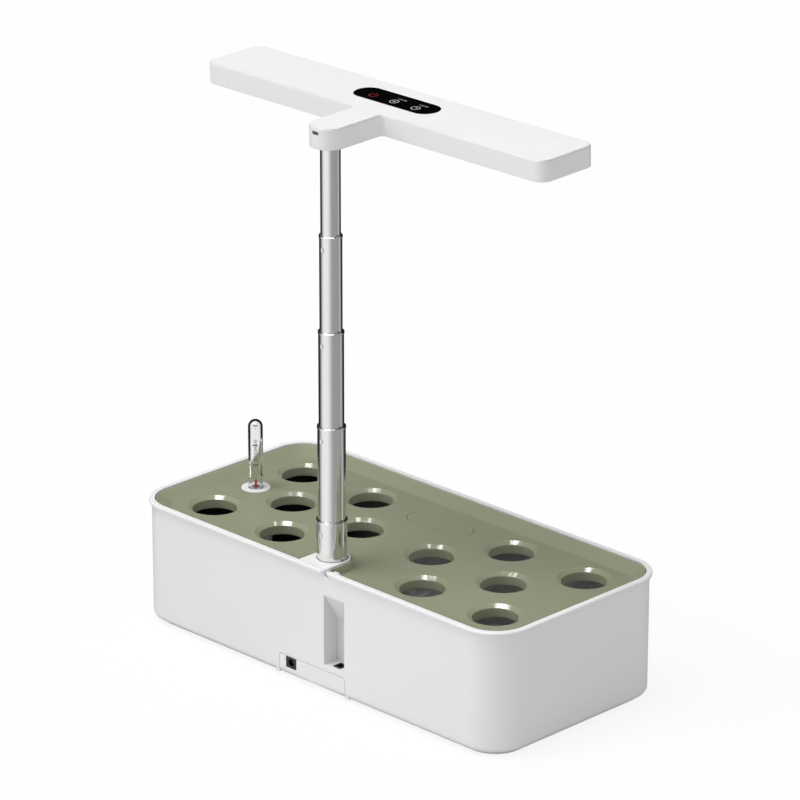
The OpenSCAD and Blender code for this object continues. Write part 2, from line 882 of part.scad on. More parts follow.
module led_board() {
    color("white") on_lamp() {
        translate([0, bar_y, led_z])
            round_slab(window_l - 2 * led_l, window_wd - 2 * led_l, led_l, led_board_t);
        for (x = lamp_posts)
            translate([x * (bar_l - bar_r), bar_y, led_z]) cylinder(r = post_r, h = roof_z - led_z);
    }
}

module led_chips() {
    color("gold") on_lamp() for (k = [0 : led_columns - 1], s = [-1, 1])
        translate([(k - (led_columns - 1) / 2) * led_step - led_l / 2,
            bar_y + s * led_row - led_w / 2, led_z - led_h])
            cube([led_l, led_w, led_h]);
}

module touch_panel() {
    color("black") on_lamp() translate([0, panel_y, lamp_z + lamp_h - pocket_d])
        stadium(panel_l, panel_w, pocket_d + panel_proud);
}

module touch_board() {
    color("darkgreen") on_lamp()
        translate([-touch_l / 2, panel_y - touch_w / 2, roof_z - touch_t])
            cube([touch_l, touch_w, touch_t]);
}

// Sleeve that stands with the lamp on the outside and upright on the tube inside
module mast_socket() {
    r = stage_r(tubes);
    color("dimgray") difference() {
        on_lamp() translate([0, -mast_y, lamp_z + lid_plate])
            cylinder(r = r + fit_gap + socket_t, h = roof_z - lamp_z - lid_plate);
        translate([0, -mast_y, lamp_z]) linear_extrude(lamp_h) keyed(r + fit_gap);
    }
}

module lamp_port() {
    front = port_in - mast_y - arm_end;
    color("black") on_lamp() difference() {
        translate([-port_w / 2, front, port_z - port_h / 2]) cube([port_w, port_d, port_h]);
        for (k = [0 : port_ribs - 1])
            translate([(k - (port_ribs - 1) / 2) * port_w / 4 - port_rib, front - over,
                port_z - port_h / 4])
                cube([2 * port_rib, port_d / 2 + over, port_h / 2]);
    }
}

// Deck, lid and water gauge

module deck_section() {
    bend = deck_r - border_w;
    under = bend + (slope_t - deck_t) / slope;
    inside = deck_r - skirt_t;
    polygon([[bend - join, deck_z], [bend, deck_z], [deck_r - land_w, deck_top],
        [deck_r, deck_top], [deck_r, skirt_z], [inside, skirt_z],
        [inside, deck_z - slope_t + slope * (inside - bend)], [under, deck_z - deck_t],
        [bend - join, deck_z - deck_t]]);
}

module for_pods() {
    for (k = outer_columns, s = [-1, 1]) translate([k * pod_pitch, s * pod_row, 0]) children();
    for (k = middle_columns) translate([k * pod_pitch, 0, 0]) children();
}

module pod_cut() {
    translate([0, 0, pod_bottom - over]) cylinder(r = pod_r, h = tank_h);
    translate([0, 0, deck_z - chamfer_h])
        cylinder(r1 = pod_r, r2 = pod_r + chamfer_w, h = chamfer_h);
    translate([0, 0, deck_z]) cylinder(r = pod_r + chamfer_w, h = deck_drop);
}

module deck_ribs() {
    for (s = [-1, 1])
        translate([-deck_l / 2 + border_w, s * pod_row / 2 - rib_t / 2, deck_z - deck_t - rib_h])
            cube([deck_l - 2 * border_w, rib_t, rib_h + join]);
    for (k = [-2, 0, 2])
        translate([k * pod_pitch - rib_t / 2, -pod_row / 2, deck_z - deck_t - rib_h])
            cube([rib_t, pod_row, rib_h + join]);
}

module lid_well_cut(gap) {
    translate([0, lid_y, 0]) stadium(lid_l + 2 * gap, lid_w + 2 * gap, tank_h);
}

// Plan of the notch round the mast's bracket, open at the back
module notch_plan(margin, reach) {
    translate([0, -mast_y]) {
        circle(r = notch_r + margin);
        translate([-notch_r - margin, -reach]) square([2 * notch_r + 2 * margin, reach]);
    }
}

module deck() {
    back = mast_inset;
    color([0.58, 0.6, 0.48]) difference() {
        union() {
            round_sweep(deck_l, deck_w, deck_r) deck_section();
            translate([0, 0, deck_z - deck_t])
                round_slab(deck_l - 2 * border_w, deck_w - 2 * border_w,
                    deck_r - border_w, deck_t);
            for_pods() translate([0, 0, pod_bottom])
                cylinder(r = pod_r + pod_wall, h = collar_h + chamfer_h - deck_t + join);
            translate([0, lid_y, deck_z - well_h])
                stadium(lid_l + 2 * (lid_gap + well_t), lid_w + 2 * (lid_gap + well_t),
                    well_h - deck_t + join);
            translate([gauge_x, 0, boss_z])
                cylinder(r = flange_r + flange_gap + boss_t, h = boss_h + join);
            deck_ribs();
            translate([0, 0, deck_z - deck_t]) linear_extrude(deck_top - deck_z + deck_t)
                notch_plan(upstand_t, deck_w / 2 - mast_y);
        }
        for_pods() pod_cut();
        difference() {
            lid_well_cut(lid_gap);
            translate([lid_l / 2 - lid_w / 2, lid_y - lid_w, deck_z - lid_t - seat_gap - ledge_t])
                difference() {
                    cube([lid_w, 2 * lid_w, ledge_t]);
                    translate([0, lid_w, -over])
                        cylinder(r = lid_w / 2 + lid_gap - ledge_w, h = ledge_t + 2 * over);
                }
        }
        translate([-pivot_x, lid_y, deck_z - pin_drop]) rotate([90, 0, 0])
            cylinder(r = pin_r + pin_gap, h = lid_w + 2 * (pin_l + fit_gap), center = true);
        translate([gauge_x, 0, flange_z]) cylinder(r = flange_r + flange_gap, h = tank_h);
        translate([gauge_x, 0, 0]) cylinder(r = spigot_r + seat_gap, h = tank_h);
        linear_extrude(tank_h + over) notch_plan(0, back);
        translate([0, -mast_y - back, 0])
            cube([plate_r + ear_l + notch_gap, wall_t + ear_w + notch_gap + seat_gap, tank_h + over]);
    }
}

module refill_lid() {
    color([0.58, 0.6, 0.48]) {
        translate([0, lid_y, deck_z - lid_t]) stadium(lid_l, lid_w, lid_t);
        translate([-pivot_x, lid_y, deck_z - pin_drop]) rotate([90, 0, 0])
            cylinder(r = pin_r, h = lid_w + 2 * pin_l, center = true);
    }
}

module gauge_flange() {
    color("white") translate([gauge_x, 0, 0]) difference() {
        union() {
            translate([0, 0, flange_z]) cylinder(r = flange_r, h = flange_t);
            translate([0, 0, flange_z - spigot_h]) cylinder(r = spigot_r, h = spigot_h + join);
        }
        translate([0, 0, flange_z - spigot_h - over]) cylinder(r = eye_r, h = tank_h);
        translate([0, 0, flange_z + flange_t - gauge_seat])
            cylinder(r = gauge_r + fit_gap, h = gauge_seat + over);
    }
}

module gauge_tube() {
    low = flange_z + flange_t - gauge_seat;
    high = deck_z + gauge_h - gauge_r;
    color([0.85, 0.9, 0.92, 0.35]) translate([gauge_x, 0, 0]) difference() {
        union() {
            translate([0, 0, low]) cylinder(r = gauge_r, h = high - low);
            translate([0, 0, high]) sphere(r = gauge_r);
        }
        translate([0, 0, low - over]) cylinder(r = gauge_r - gauge_t, h = high - low + over);
        translate([0, 0, high]) sphere(r = gauge_r - gauge_t);
    }
}

// Slotted tube under the deck that the float rises in, with a cross at the bottom
module float_guide() {
    rise = boss_z - guide_z;
    span = (rise - guide_head - cross_h - window_gap) / window_rows;
    color("white") translate([gauge_x, 0, guide_z]) {
        difference() {
            cylinder(r = guide_r, h = rise);
            translate([0, 0, -over])
                cylinder(r = guide_r - guide_t, h = rise - guide_head + over);
            cylinder(r = spigot_r + fit_gap, h = rise + over);
            for (k = [0 : window_rows - 1], turn = [1 : 2 : 11])
                rotate(30 * turn) translate([guide_r / 2, -window_w / 2,
                    cross_h + window_gap + k * span])
                    cube([guide_r, window_w, span - window_gap]);
        }
        for (turn = [0, 90]) rotate(turn)
            translate([join - guide_r, -cross_w / 2, 0])
                cube([2 * guide_r - 2 * join, cross_w, cross_h]);
    }
}

module float() {
    color("ivory") translate([gauge_x, 0, float_z]) difference() {
        cylinder(r = float_r, h = float_h);
        translate([0, 0, float_h - rod_seat]) cylinder(r = rod_r + fit_gap, h = rod_seat + over);
    }
}

module float_rod() {
    low = float_z + float_h - rod_seat;
    color("firebrick") translate([gauge_x, 0, 0]) {
        translate([0, 0, low]) cylinder(r = rod_r, h = deck_z + tip_h - low);
        translate([0, 0, bead_z]) cylinder(r = bead_r, h = bead_h);
    }
}

// Pump

module along_y(r, y, l) {
    translate([pump_x, y + l, axle_z]) rotate([90, 0, 0]) cylinder(r = r, h = l);
}

module pump_body() {
    color("darkslategray") difference() {
        union() {
            translate([pump_x, pump_y, pump_z]) round_slab(pump_l, pump_w, pump_r, pump_h);
            translate([spout_x, spout_y, riser_z - join])
                cylinder(r = spout_r + spout_t, h = spout_h + join);
            translate([pump_x - pump_l / 3, pump_y + pump_w / 3 - gland_r / 2, riser_z - join])
                cylinder(r = gland_r, h = gland_h + join);
        }
        along_y(chamber_r, front_y - over, chamber_d + over);
        along_y(rotor_r + rotor_gap, front_y, chamber_d + rotor_l + 2 * rotor_end);
        along_y(axle_r + fit_gap / 2, front_y, chamber_d + rotor_l + 2 * rotor_end + axle_seat);
        translate([spout_x, spout_y, axle_z]) cylinder(r = spout_r, h = pump_h + spout_h);
    }
}

module pump_face() {
    color("darkslategray") difference() {
        translate([pump_x - face_l / 2, front_y - face_t, axle_z - face_h / 2])
            cube([face_l, face_t, face_h]);
        difference() {
            along_y(inlet_r, front_y - face_t - over, face_t + 2 * over);
            translate([pump_x, front_y - face_t, axle_z]) {
                for (turn = [45, 135]) rotate([0, turn, 0])
                    translate([-inlet_r, 0, -spoke_w / 2])
                        cube([2 * inlet_r, face_t, spoke_w]);
            }
            along_y(axle_r + spoke_w, front_y - face_t, face_t);
        }
        along_y(axle_r + fit_gap / 2, front_y - face_t / 2, face_t);
    }
}

module pump_strainer() {
    y = front_y - face_t - strainer_d;
    color("dimgray") difference() {
        translate([pump_x - face_l / 2, y, axle_z - face_h / 2])
            cube([face_l, strainer_d, face_h]);
        translate([pump_x - face_l / 2 + strainer_t, y + strainer_t, axle_z - face_h / 2 + strainer_t])
            cube([face_l - 2 * strainer_t, strainer_d, face_h - 2 * strainer_t]);
        for (k = [0 : strainer_bars - 1])
            translate([pump_x + (k - (strainer_bars - 1) / 2) * (face_l - 2 * strainer_t) / strainer_bars
                - slot_w / 2, y - over, axle_z - face_h / 2 + 2 * strainer_t])
                cube([slot_w, strainer_t + 2 * over, face_h - 4 * strainer_t]);
    }
}

// Riser pipe that lifts the water to just below the deck and lets it out through slots
module pump_riser() {
    r = spout_r + spout_t;
    color("dimgray") translate([spout_x, spout_y, 0]) difference() {
        union() {
            translate([0, 0, riser_z]) cylinder(r = r + fit_gap + riser_t, h = riser_seat);
            translate([0, 0, riser_z]) cylinder(r = r, h = riser_top - riser_z);
        }
        translate([0, 0, riser_z - over]) cylinder(r = r + fit_gap, h = spout_h + over);
        translate([0, 0, riser_z]) cylinder(r = spout_r, h = riser_top - riser_z - riser_t);
        for (k = [0 : riser_slots - 1]) rotate(k * 360 / riser_slots)
            translate([0, -slot_w / 2, riser_top - riser_t - slot_h])
                cube([2 * r, slot_w, slot_h]);
    }
}

module suction_cups() {
    neck_h = cup_h * cup_share;
    color("black") for (x = [-1, 1], y = [-1, 1])
        translate([pump_x + x * (pump_l / 2 - pump_r), pump_y + y * (pump_w / 2 - pump_r), floor_z])
            difference() {
                union() {
                    cylinder(r1 = cup_r, r2 = cup_neck, h = neck_h);
                    cylinder(r = cup_neck, h = cup_h);
                }
                cylinder(r1 = cup_r - cup_t, r2 = 0, h = neck_h - cup_t);
            }
}

// Rotor magnet, hub and straight vanes in one piece, on a fixed axle
module impeller() {
    color("royalblue") difference() {
        union() {
            along_y(rotor_r, front_y + chamber_d + rotor_end, rotor_l);
            along_y(hub_r, front_y + chamber_d - vane_d, vane_d + rotor_end + join);
            translate([pump_x, front_y + chamber_d - vane_d, axle_z])
                for (k = [0 : vanes - 1]) rotate([0, k * 360 / vanes, 0])
                    translate([0, 0, -vane_t / 2]) cube([vane_r, vane_d - rotor_gap, vane_t]);
        }
        along_y(axle_r + axle_gap, front_y - over, pump_w + over);
    }
}

module impeller_axle() {
    color("silver") along_y(axle_r, front_y - face_t / 2,
        face_t / 2 + chamber_d + rotor_l + 2 * rotor_end + axle_seat);
}

tank();
base_cover();
rubber_feet();
base_screws();
control_cover();
dc_jack();
control_board();
board_screws();
pump_socket();
mast_bracket();
mast_tube(1);  // mast_tube_1
mast_collar(1);  // mast_collar_1
mast_tube(2);  // mast_tube_2
mast_collar(2);  // mast_collar_2
slide_bush(2);  // slide_bush_2
mast_tube(3);  // mast_tube_3
mast_collar(3);  // mast_collar_3
slide_bush(3);  // slide_bush_3
mast_tube(4);  // mast_tube_4
mast_collar(4);  // mast_collar_4
slide_bush(4);  // slide_bush_4
mast_tube(5);  // mast_tube_5
slide_bush(5);  // slide_bush_5
mast_socket();
lamp_shell();
lamp_cover();
diffuser();
led_board();
led_chips();
touch_panel();
touch_board();
lamp_port();
lamp_screws();
deck();
gauge_flange();
gauge_tube();
float_guide();
refill_lid();
float();
float_rod();
pump_body();
pump_face();
pump_strainer();
pump_riser();
suction_cups();
impeller();
impeller_axle();
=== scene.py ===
# %% [markdown]
# # A countertop hydroponic garden
# The garden is a white water tank under an olive planting deck, with a grow lamp on a
# telescopic steel mast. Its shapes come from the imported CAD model, which is loaded here as a
# fixed frame. This lesson gives each piece its finish and adds the small things that CAD
# leaves out, such as screw heads, lamp chips, the gauge's scale and the marks on the controls.

# %% Load the frame
import json
import math

import bpy
import bmesh
from mathutils import Matrix, Quaternion, Vector


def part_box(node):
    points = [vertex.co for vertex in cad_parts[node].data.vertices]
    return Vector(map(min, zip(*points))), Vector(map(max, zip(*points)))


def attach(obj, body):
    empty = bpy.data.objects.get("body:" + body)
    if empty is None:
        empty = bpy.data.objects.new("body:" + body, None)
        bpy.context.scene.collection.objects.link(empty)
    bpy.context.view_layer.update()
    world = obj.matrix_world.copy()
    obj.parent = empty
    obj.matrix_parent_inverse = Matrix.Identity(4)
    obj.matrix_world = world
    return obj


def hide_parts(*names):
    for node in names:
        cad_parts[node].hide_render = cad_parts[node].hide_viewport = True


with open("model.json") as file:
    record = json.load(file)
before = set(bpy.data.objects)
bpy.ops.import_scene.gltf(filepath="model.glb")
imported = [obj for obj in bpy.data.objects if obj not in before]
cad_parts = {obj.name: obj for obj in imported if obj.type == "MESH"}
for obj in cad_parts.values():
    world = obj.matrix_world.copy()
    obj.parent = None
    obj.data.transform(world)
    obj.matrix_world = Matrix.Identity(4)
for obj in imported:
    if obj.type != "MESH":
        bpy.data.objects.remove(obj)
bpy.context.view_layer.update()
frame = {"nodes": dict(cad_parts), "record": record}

MM = 0.001
scene = bpy.context.scene
nodes = frame["nodes"]

# %% [markdown]
# ## The camera
# Product pictures are often taken with a long lens from far away, which keeps upright lines
# nearly parallel. Four pod holes, the rim and the lamp bar fix the place of this camera: it
# stands 3.7 m away, 45 degrees round from the front and 21 degrees up, and it leans over by
# less than a tenth of a degree.

# %% Place the camera
CAMERA_AT = Vector((2411.86, -2422.46, 1515.86)) * MM
AIMED_AT = Vector((2.107, 1.963, 212.688)) * MM
ROLL = 0.00125
camera_data = bpy.data.cameras.new("camera")
camera_data.sensor_width = 36
camera_data.lens = 214.37
camera_data.clip_end = 100
camera = bpy.data.objects.new("camera", camera_data)
scene.collection.objects.link(camera)
camera.location = CAMERA_AT
level = (AIMED_AT - CAMERA_AT).to_track_quat("-Z", "Y")
camera.rotation_euler = (level @ Quaternion((0, 0, 1), ROLL)).to_euler()
scene.camera = camera
scene.view_settings.view_transform = "Standard"
print("camera is %.2f m from the garden" % (AIMED_AT - CAMERA_AT).length)

# %% [markdown]
# ## Small helpers for node trees
# Every finish is a short chain of shader nodes, so a few helpers keep the later cells easy to
# read. A value that is the same all over goes on the shader's own socket, and only what
# varies over the surface gets nodes.

# %% Node helpers
def add_node(tree, kind, **settings):
    """Adds a node, sets its properties and gives it back."""
    node = tree.nodes.new(kind)
    for key, value in settings.items():
        setattr(node, key, value)
    return node


def wire(tree, source, target):
    """Joins (node, output) to (node, input); a plain value goes onto the input itself."""
    socket = target[0].inputs[target[1]]
    if isinstance(source, tuple) and isinstance(source[0], bpy.types.Node):
        tree.links.new(source[0].outputs[source[1]], socket)
    else:
        socket.default_value = source


def set_inputs(node, values):
    """Puts plain values on a node's inputs by their names."""
    for name, value in values.items():
        node.inputs[name].default_value = value


def maths(tree, operation, a, b=0.0, clamp=False):
    """One Math node on two values, each of them plain or from another node."""
    node = add_node(tree, "ShaderNodeMath", operation=operation, use_clamp=clamp)
    wire(tree, a, (node, 0))
    wire(tree, b, (node, 1))
    return node, "Value"


def noise(tree, place, scale, detail=2.0, roughness=0.5):
    """Soft random clouds from 0 to 1."""
    node = add_node(tree, "ShaderNodeTexNoise")
    wire(tree, place, (node, "Vector"))
    wire(tree, scale, (node, "Scale"))
    wire(tree, detail, (node, "Detail"))
    wire(tree, roughness, (node, "Roughness"))
    return node, "Fac"


def spread(tree, value, low, high, start=0.0, stop=1.0):
    """Maps value from start..stop to low..high."""
    node = add_node(tree, "ShaderNodeMapRange")
    wire(tree, value, (node, "Value"))
    for name, number in (("From Min", start), ("From Max", stop), ("To Min", low),
                         ("To Max", high)):
        wire(tree, number, (node, name))
    return node, "Result"


def full_colour(colour):
    """Adds the fourth value that a colour input needs, unless a node gives the colour."""
    return colour if isinstance(colour[0], bpy.types.Node) else (*colour, 1)


def blend_colours(tree, factor, low, high):
    """The low colour where factor is 0 and the high one where it is 1."""
    node = add_node(tree, "ShaderNodeMix", data_type="RGBA")
    wire(tree, factor, (node, 0))
    for index, colour in ((6, low), (7, high)):
        wire(tree, full_colour(colour), (node, index))
    return node, 2


def one_colour(tree, kind, output, colour):
    """A Background, Emission or Diffuse node in one colour."""
    node = add_node(tree, kind)
    wire(tree, full_colour(colour), (node, "Color"))
    return node, output


def blend_shaders(tree, factor, low, high):
    """The low shader where factor is 0 and the high one where it is 1."""
    node = add_node(tree, "ShaderNodeMixShader")
    for index, source in enumerate((factor, low, high)):
        wire(tree, source, (node, index))
    return node, "Shader"


def object_place(tree, scale=(1, 1, 1), rotation=(0, 0, 0), location=(0, 0, 0)):
    """Object coordinates, stretched or turned by a Mapping node."""
    coordinates = add_node(tree, "ShaderNodeTexCoord")
    mapping = add_node(tree, "ShaderNodeMapping")
    wire(tree, (coordinates, "Object"), (mapping, "Vector"))
    set_inputs(mapping, {"Scale": scale, "Rotation": rotation, "Location": location})
    return mapping, "Vector"


print("node helpers are ready")

# %% [markdown]
# ## A soft white studio
# The garden stands on a plain pale floor. The camera sees the floor close to white, with the
# garden's soft shadow kept, while other rays see a pale grey floor, which lights the walls
# from below as a real sweep does. Steel shows nothing of its own but what it reflects, so for
# reflections the floor and sky carry a bright card in front of the mast, a grey one to its
# right and dark ones further round, as a studio hangs them. The ring is bright on the floor
# and dimmer in the sky, and it stays put when the camera walks round.
#
# The clear gauge tube needs white behind it and a dark outline. Light that crosses the hollow
# of the tube passes four surfaces, and light that only cuts through the wall at the tube's edge
# passes two. So the number of surfaces passed tells both apart from every side: past the wall
# alone, floor and sky are nearly black.

# %% Ring of cards that only reflections see
CARDS = ((0.000, 0.01), (0.150, 0.01), (0.178, 0.09), (0.200, 0.27), (0.235, 0.62),
         (0.268, 0.90), (0.300, 1.04), (0.400, 1.05), (0.437, 0.95), (0.468, 0.78),
         (0.500, 0.56), (0.525, 0.45), (0.565, 0.39), (0.785, 0.38), (0.815, 0.22),
         (0.840, 0.08), (0.865, 0.01), (1.000, 0.01))
MAST_Y = -0.0696
FACING = math.radians(-45.17)
SKY_LIGHT, SKY_CARDS = 0.60, 0.32
WALL_ON_EDGE = 0.03


def card_ring(tree, place):
    """Brightness by compass direction round the mast, as an output of a colour ramp."""
    gradient = add_node(tree, "ShaderNodeTexGradient", gradient_type="RADIAL")
    wire(tree, place, (gradient, "Vector"))
    ramp = add_node(tree, "ShaderNodeValToRGB")
    wire(tree, (gradient, "Fac"), (ramp, "Fac"))
    stops = ramp.color_ramp.elements
    stops[0].position, stops[1].position = CARDS[0][0], CARDS[-1][0]
    for position, _ in CARDS[1:-1]:
        stops.new(position)
    for stop, (_, value) in zip(stops, CARDS):
        stop.color = (value, value, value, 1)
    return ramp, "Color"


def turned(tree, place):
    """The same place, turned so that the ring's zero lies behind the mast for the camera."""
    mapping = add_node(tree, "ShaderNodeMapping")
    wire(tree, place, (mapping, "Vector"))
    set_inputs(mapping, {"Rotation": (0, 0, -FACING)})
    return mapping, "Vector"


def crossed(tree, rays):
    """1 for a ray that went into and out of the clear tube's hollow, 0 in its wall alone."""
    return maths(tree, "GREATER_THAN", (rays, "Transmission Depth"), 2.5)


def in_gloss(tree, rays):
    """1 for a mirrored ray, also when it then passes through the clear tube."""
    passed = maths(tree, "MULTIPLY", (rays, "Is Transmission Ray"), crossed(tree, rays))
    kinds = maths(tree, "ADD", (rays, "Is Glossy Ray"), passed)
    return maths(tree, "MINIMUM", maths(tree, "MULTIPLY", (rays, "Glossy Depth"), kinds), 1.0)


def seen_through(tree, rays):
    """What clear plastic shows: white through the tube, dark where its wall is on edge."""
    soft = maths(tree, "MINIMUM", (rays, "Diffuse Depth"), 1.0)
    pale = maths(tree, "MAXIMUM", crossed(tree, rays), soft)
    return maths(tree, "MAXIMUM", pale, WALL_ON_EDGE)


def with_clear_view(tree, rays, others, behind):
    """Swaps in what is behind clear plastic, for the rays that come through it."""
    passed = maths(tree, "SUBTRACT", (rays, "Is Transmission Ray"), in_gloss(tree, rays),
                   clamp=True)
    return blend_shaders(tree, passed, others, behind)


world = bpy.data.worlds.new("studio")
scene.world = world
world.use_nodes = True
sky = world.node_tree
sky.nodes.clear()
rays = add_node(sky, "ShaderNodeLightPath")
direction = (add_node(sky, "ShaderNodeTexCoord"), "Generated")
sky_colours = [one_colour(sky, "ShaderNodeBackground", "Background", colour) for colour in (
    (0.985, 0.99, 1.0), card_ring(sky, turned(sky, direction)), seen_through(sky, rays),
    (1, 1, 1))]
ambient, cards, behind, white = sky_colours
set_inputs(ambient[0], {"Strength": SKY_LIGHT})
set_inputs(cards[0], {"Strength": SKY_CARDS})
unseen = blend_shaders(sky, in_gloss(sky, rays), ambient, cards)
unseen = with_clear_view(sky, rays, unseen, behind)
output = add_node(sky, "ShaderNodeOutputWorld")
wire(sky, blend_shaders(sky, (rays, "Is Camera Ray"), unseen, white), (output, "Surface"))
print("world is ready, with", len(CARDS), "stops in its ring of cards")

# %% Floor
SHADOW_SOFTENING = 0.86
bpy.ops.mesh.primitive_plane_add(size=16)
floor = bpy.context.object
floor.name = "studio_floor"
paint = bpy.data.materials.new("studio_floor")
paint.use_nodes = True
tree = paint.node_tree
tree.nodes.clear()
rays = add_node(tree, "ShaderNodeLightPath")
pale = one_colour(tree, "ShaderNodeBsdfDiffuse", "BSDF", (0.60, 0.60, 0.60))
shadowed = one_colour(tree, "ShaderNodeBsdfDiffuse", "BSDF", (0.95, 0.95, 0.95))
glow = one_colour(tree, "ShaderNodeEmission", "Emission", (1, 1, 1))
place = object_place(tree, location=(0, -MAST_Y, 0))
cards = one_colour(tree, "ShaderNodeEmission", "Emission", card_ring(tree, turned(tree, place)))
behind = one_colour(tree, "ShaderNodeEmission", "Emission", seen_through(tree, rays))
unseen = blend_shaders(tree, (rays, "Is Glossy Ray"), pale, cards)
unseen = with_clear_view(tree, rays, unseen, behind)
shown = blend_shaders(tree, SHADOW_SOFTENING, shadowed, glow)
surface = add_node(tree, "ShaderNodeOutputMaterial")
wire(tree, blend_shaders(tree, (rays, "Is Camera Ray"), unseen, shown), (surface, "Surface"))
floor.data.materials.append(paint)
print("floor is", floor.dimensions.x, "m across")

# %% [markdown]
# ## Lamps
# A large softbox, up and to the left, does most of the work. A weak wide fill from the left
# lifts the long wall a little over the end wall. A small card above the garden lights nothing
# and is only mirrored: it makes the bright patches on the far sides of the pod holes'
# chamfers. That is why it hides from the camera, from diffuse rays and from clear plastic.

# %% Softbox, fill and mirrored card
def lamp(name, kind, energy, place, rotation, **settings):
    """Adds a lamp with the given settings."""
    data = bpy.data.lights.new(name, kind)
    data.energy = energy
    for key, value in settings.items():
        setattr(data, key, value)
    holder = bpy.data.objects.new(name, data)
    scene.collection.objects.link(holder)
    holder.location = place
    holder.rotation_euler = rotation
    return holder


level_and_square = (0, 0, FACING)
softbox = lamp("softbox", "AREA", 136, (-1.00, -1.35, 5.5), level_and_square,
               shape="RECTANGLE", size=2.05, size_y=2.55)
from_left = Vector((-0.35, -0.85, 0.40)).to_track_quat("Z", "Y").to_euler()
fill = lamp("fill", "SUN", 0.53, (0, 0, 0), from_left, angle=math.radians(50))
card = lamp("mirrored_card", "AREA", 5.0, (-0.088, -0.159, 0.90), level_and_square,
            shape="RECTANGLE", size=0.36, size_y=0.60)
card.visible_camera = card.visible_diffuse = card.visible_transmission = False
print("softbox %d W, fill %.2f, card %.1f W" % (
    softbox.data.energy, fill.data.energy, card.data.energy))

# %% [markdown]
# ## Moulded plastic
# Injection-moulded plastic has a fine spark-eroded grain, a gloss that wanders slightly where
# the melt cooled unevenly, and edges that are never perfectly sharp. The grain is a small
# noise bump. A Bevel node rounds the shading of every edge, and where the rounded normal
# leaves the flat one, the edge also gets a touch lighter and smoother, as handling leaves it.

# %% One moulded finish
def rounded_edges(tree, radius):
    """A normal with its edges rounded, and a mask that is 1 on those edges."""
    bevel = add_node(tree, "ShaderNodeBevel", samples=6)
    set_inputs(bevel, {"Radius": radius})
    geometry = add_node(tree, "ShaderNodeNewGeometry")
    dot = add_node(tree, "ShaderNodeVectorMath", operation="DOT_PRODUCT")
    wire(tree, (bevel, "Normal"), (dot, 0))
    wire(tree, (geometry, "Normal"), (dot, 1))
    return (bevel, "Normal"), spread(tree, (dot, "Value"), 1.0, 0.0, 0.80, 0.995)


def new_finish(name):
    """A new material, its node tree and its main shader."""
    material = bpy.data.materials.new(name)
    material.use_nodes = True
    return material, material.node_tree, material.node_tree.nodes["Principled BSDF"]


def add_bump(tree, shader, height, strength, distance, normal=None):
    """Raises the surface's shading by a height pattern."""
    bump = add_node(tree, "ShaderNodeBump")
    set_inputs(bump, {"Strength": strength, "Distance": distance})
    wire(tree, height, (bump, "Height"))
    if normal is not None:
        wire(tree, normal, (bump, "Normal"))
    wire(tree, (bump, "Normal"), (shader, "Normal"))


def moulded(name, colour, gloss, grain=0.35, tint=0.03, edge=0.8, specular=0.5,
            grain_size=0.55):
    """Plastic with mould grain, wandering gloss and soft edges; edge and grain_size in mm."""
    material, tree, shader = new_finish(name)
    place = object_place(tree)
    normal, edges = rounded_edges(tree, edge * MM)
    clouds = noise(tree, place, 14.0, 3.0)
    low = tuple(max(0.0, c * (1 - tint)) for c in colour)
    body = blend_colours(tree, spread(tree, clouds, 0.0, 1.0, 0.3, 0.7), low, colour)
    worn = tuple(min(0.95, c * 1.05 + 0.01) for c in colour)
    wire(tree, blend_colours(tree, maths(tree, "MULTIPLY", edges, 0.5), body, worn),
         (shader, "Base Color"))
    wander = noise(tree, place, 31.0, 2.0)
    rough = spread(tree, wander, gloss - 0.03, gloss + 0.03, 0.3, 0.7)
    wire(tree, maths(tree, "SUBTRACT", rough, maths(tree, "MULTIPLY", edges, 0.06)),
         (shader, "Roughness"))
    set_inputs(shader, {"Specular IOR Level": specular})
    grains = noise(tree, place, 1 / (grain_size * MM), 2.0, 0.6)
    add_bump(tree, shader, grains, grain, 0.02 * MM, normal)
    return material


white_plastic = moulded("white_plastic", (0.93, 0.93, 0.925), 0.42, tint=0.012)
base_plastic = moulded("base_plastic", (0.86, 0.86, 0.855), 0.46, tint=0.015)
olive_plastic = moulded("olive_plastic", (0.362, 0.371, 0.258), 0.09, tint=0.04, specular=0.9)
black_plastic = moulded("black_plastic", (0.012, 0.012, 0.013), 0.38, tint=0.10)
bush_plastic = moulded("bush_plastic", (0.20, 0.20, 0.20), 0.50, tint=0.08)
pump_plastic = moulded("pump_plastic", (0.80, 0.80, 0.80), 0.40, tint=0.08)
rotor_plastic = moulded("rotor_plastic", (0.10, 0.18, 0.46), 0.40, tint=0.08)
red_plastic = moulded("red_plastic", (0.60, 0.030, 0.025), 0.36, tint=0.10, edge=0.2)
float_foam = moulded("float_foam", (0.86, 0.84, 0.76), 0.80, grain=1.0, tint=0.08,
                     grain_size=1.4)
foot_rubber = moulded("foot_rubber", (0.10, 0.10, 0.10), 0.75, grain=0.8, tint=0.15)
cup_rubber = moulded("cup_rubber", (0.04, 0.04, 0.04), 0.45, tint=0.15)
port_plastic = moulded("port_plastic", (0.20, 0.20, 0.20), 0.45, tint=0.10, edge=0.1)
print("made %d plastics and %d rubbers" % (
    sum("plastic" in m.name for m in bpy.data.materials),
    sum("rubber" in m.name for m in bpy.data.materials)))
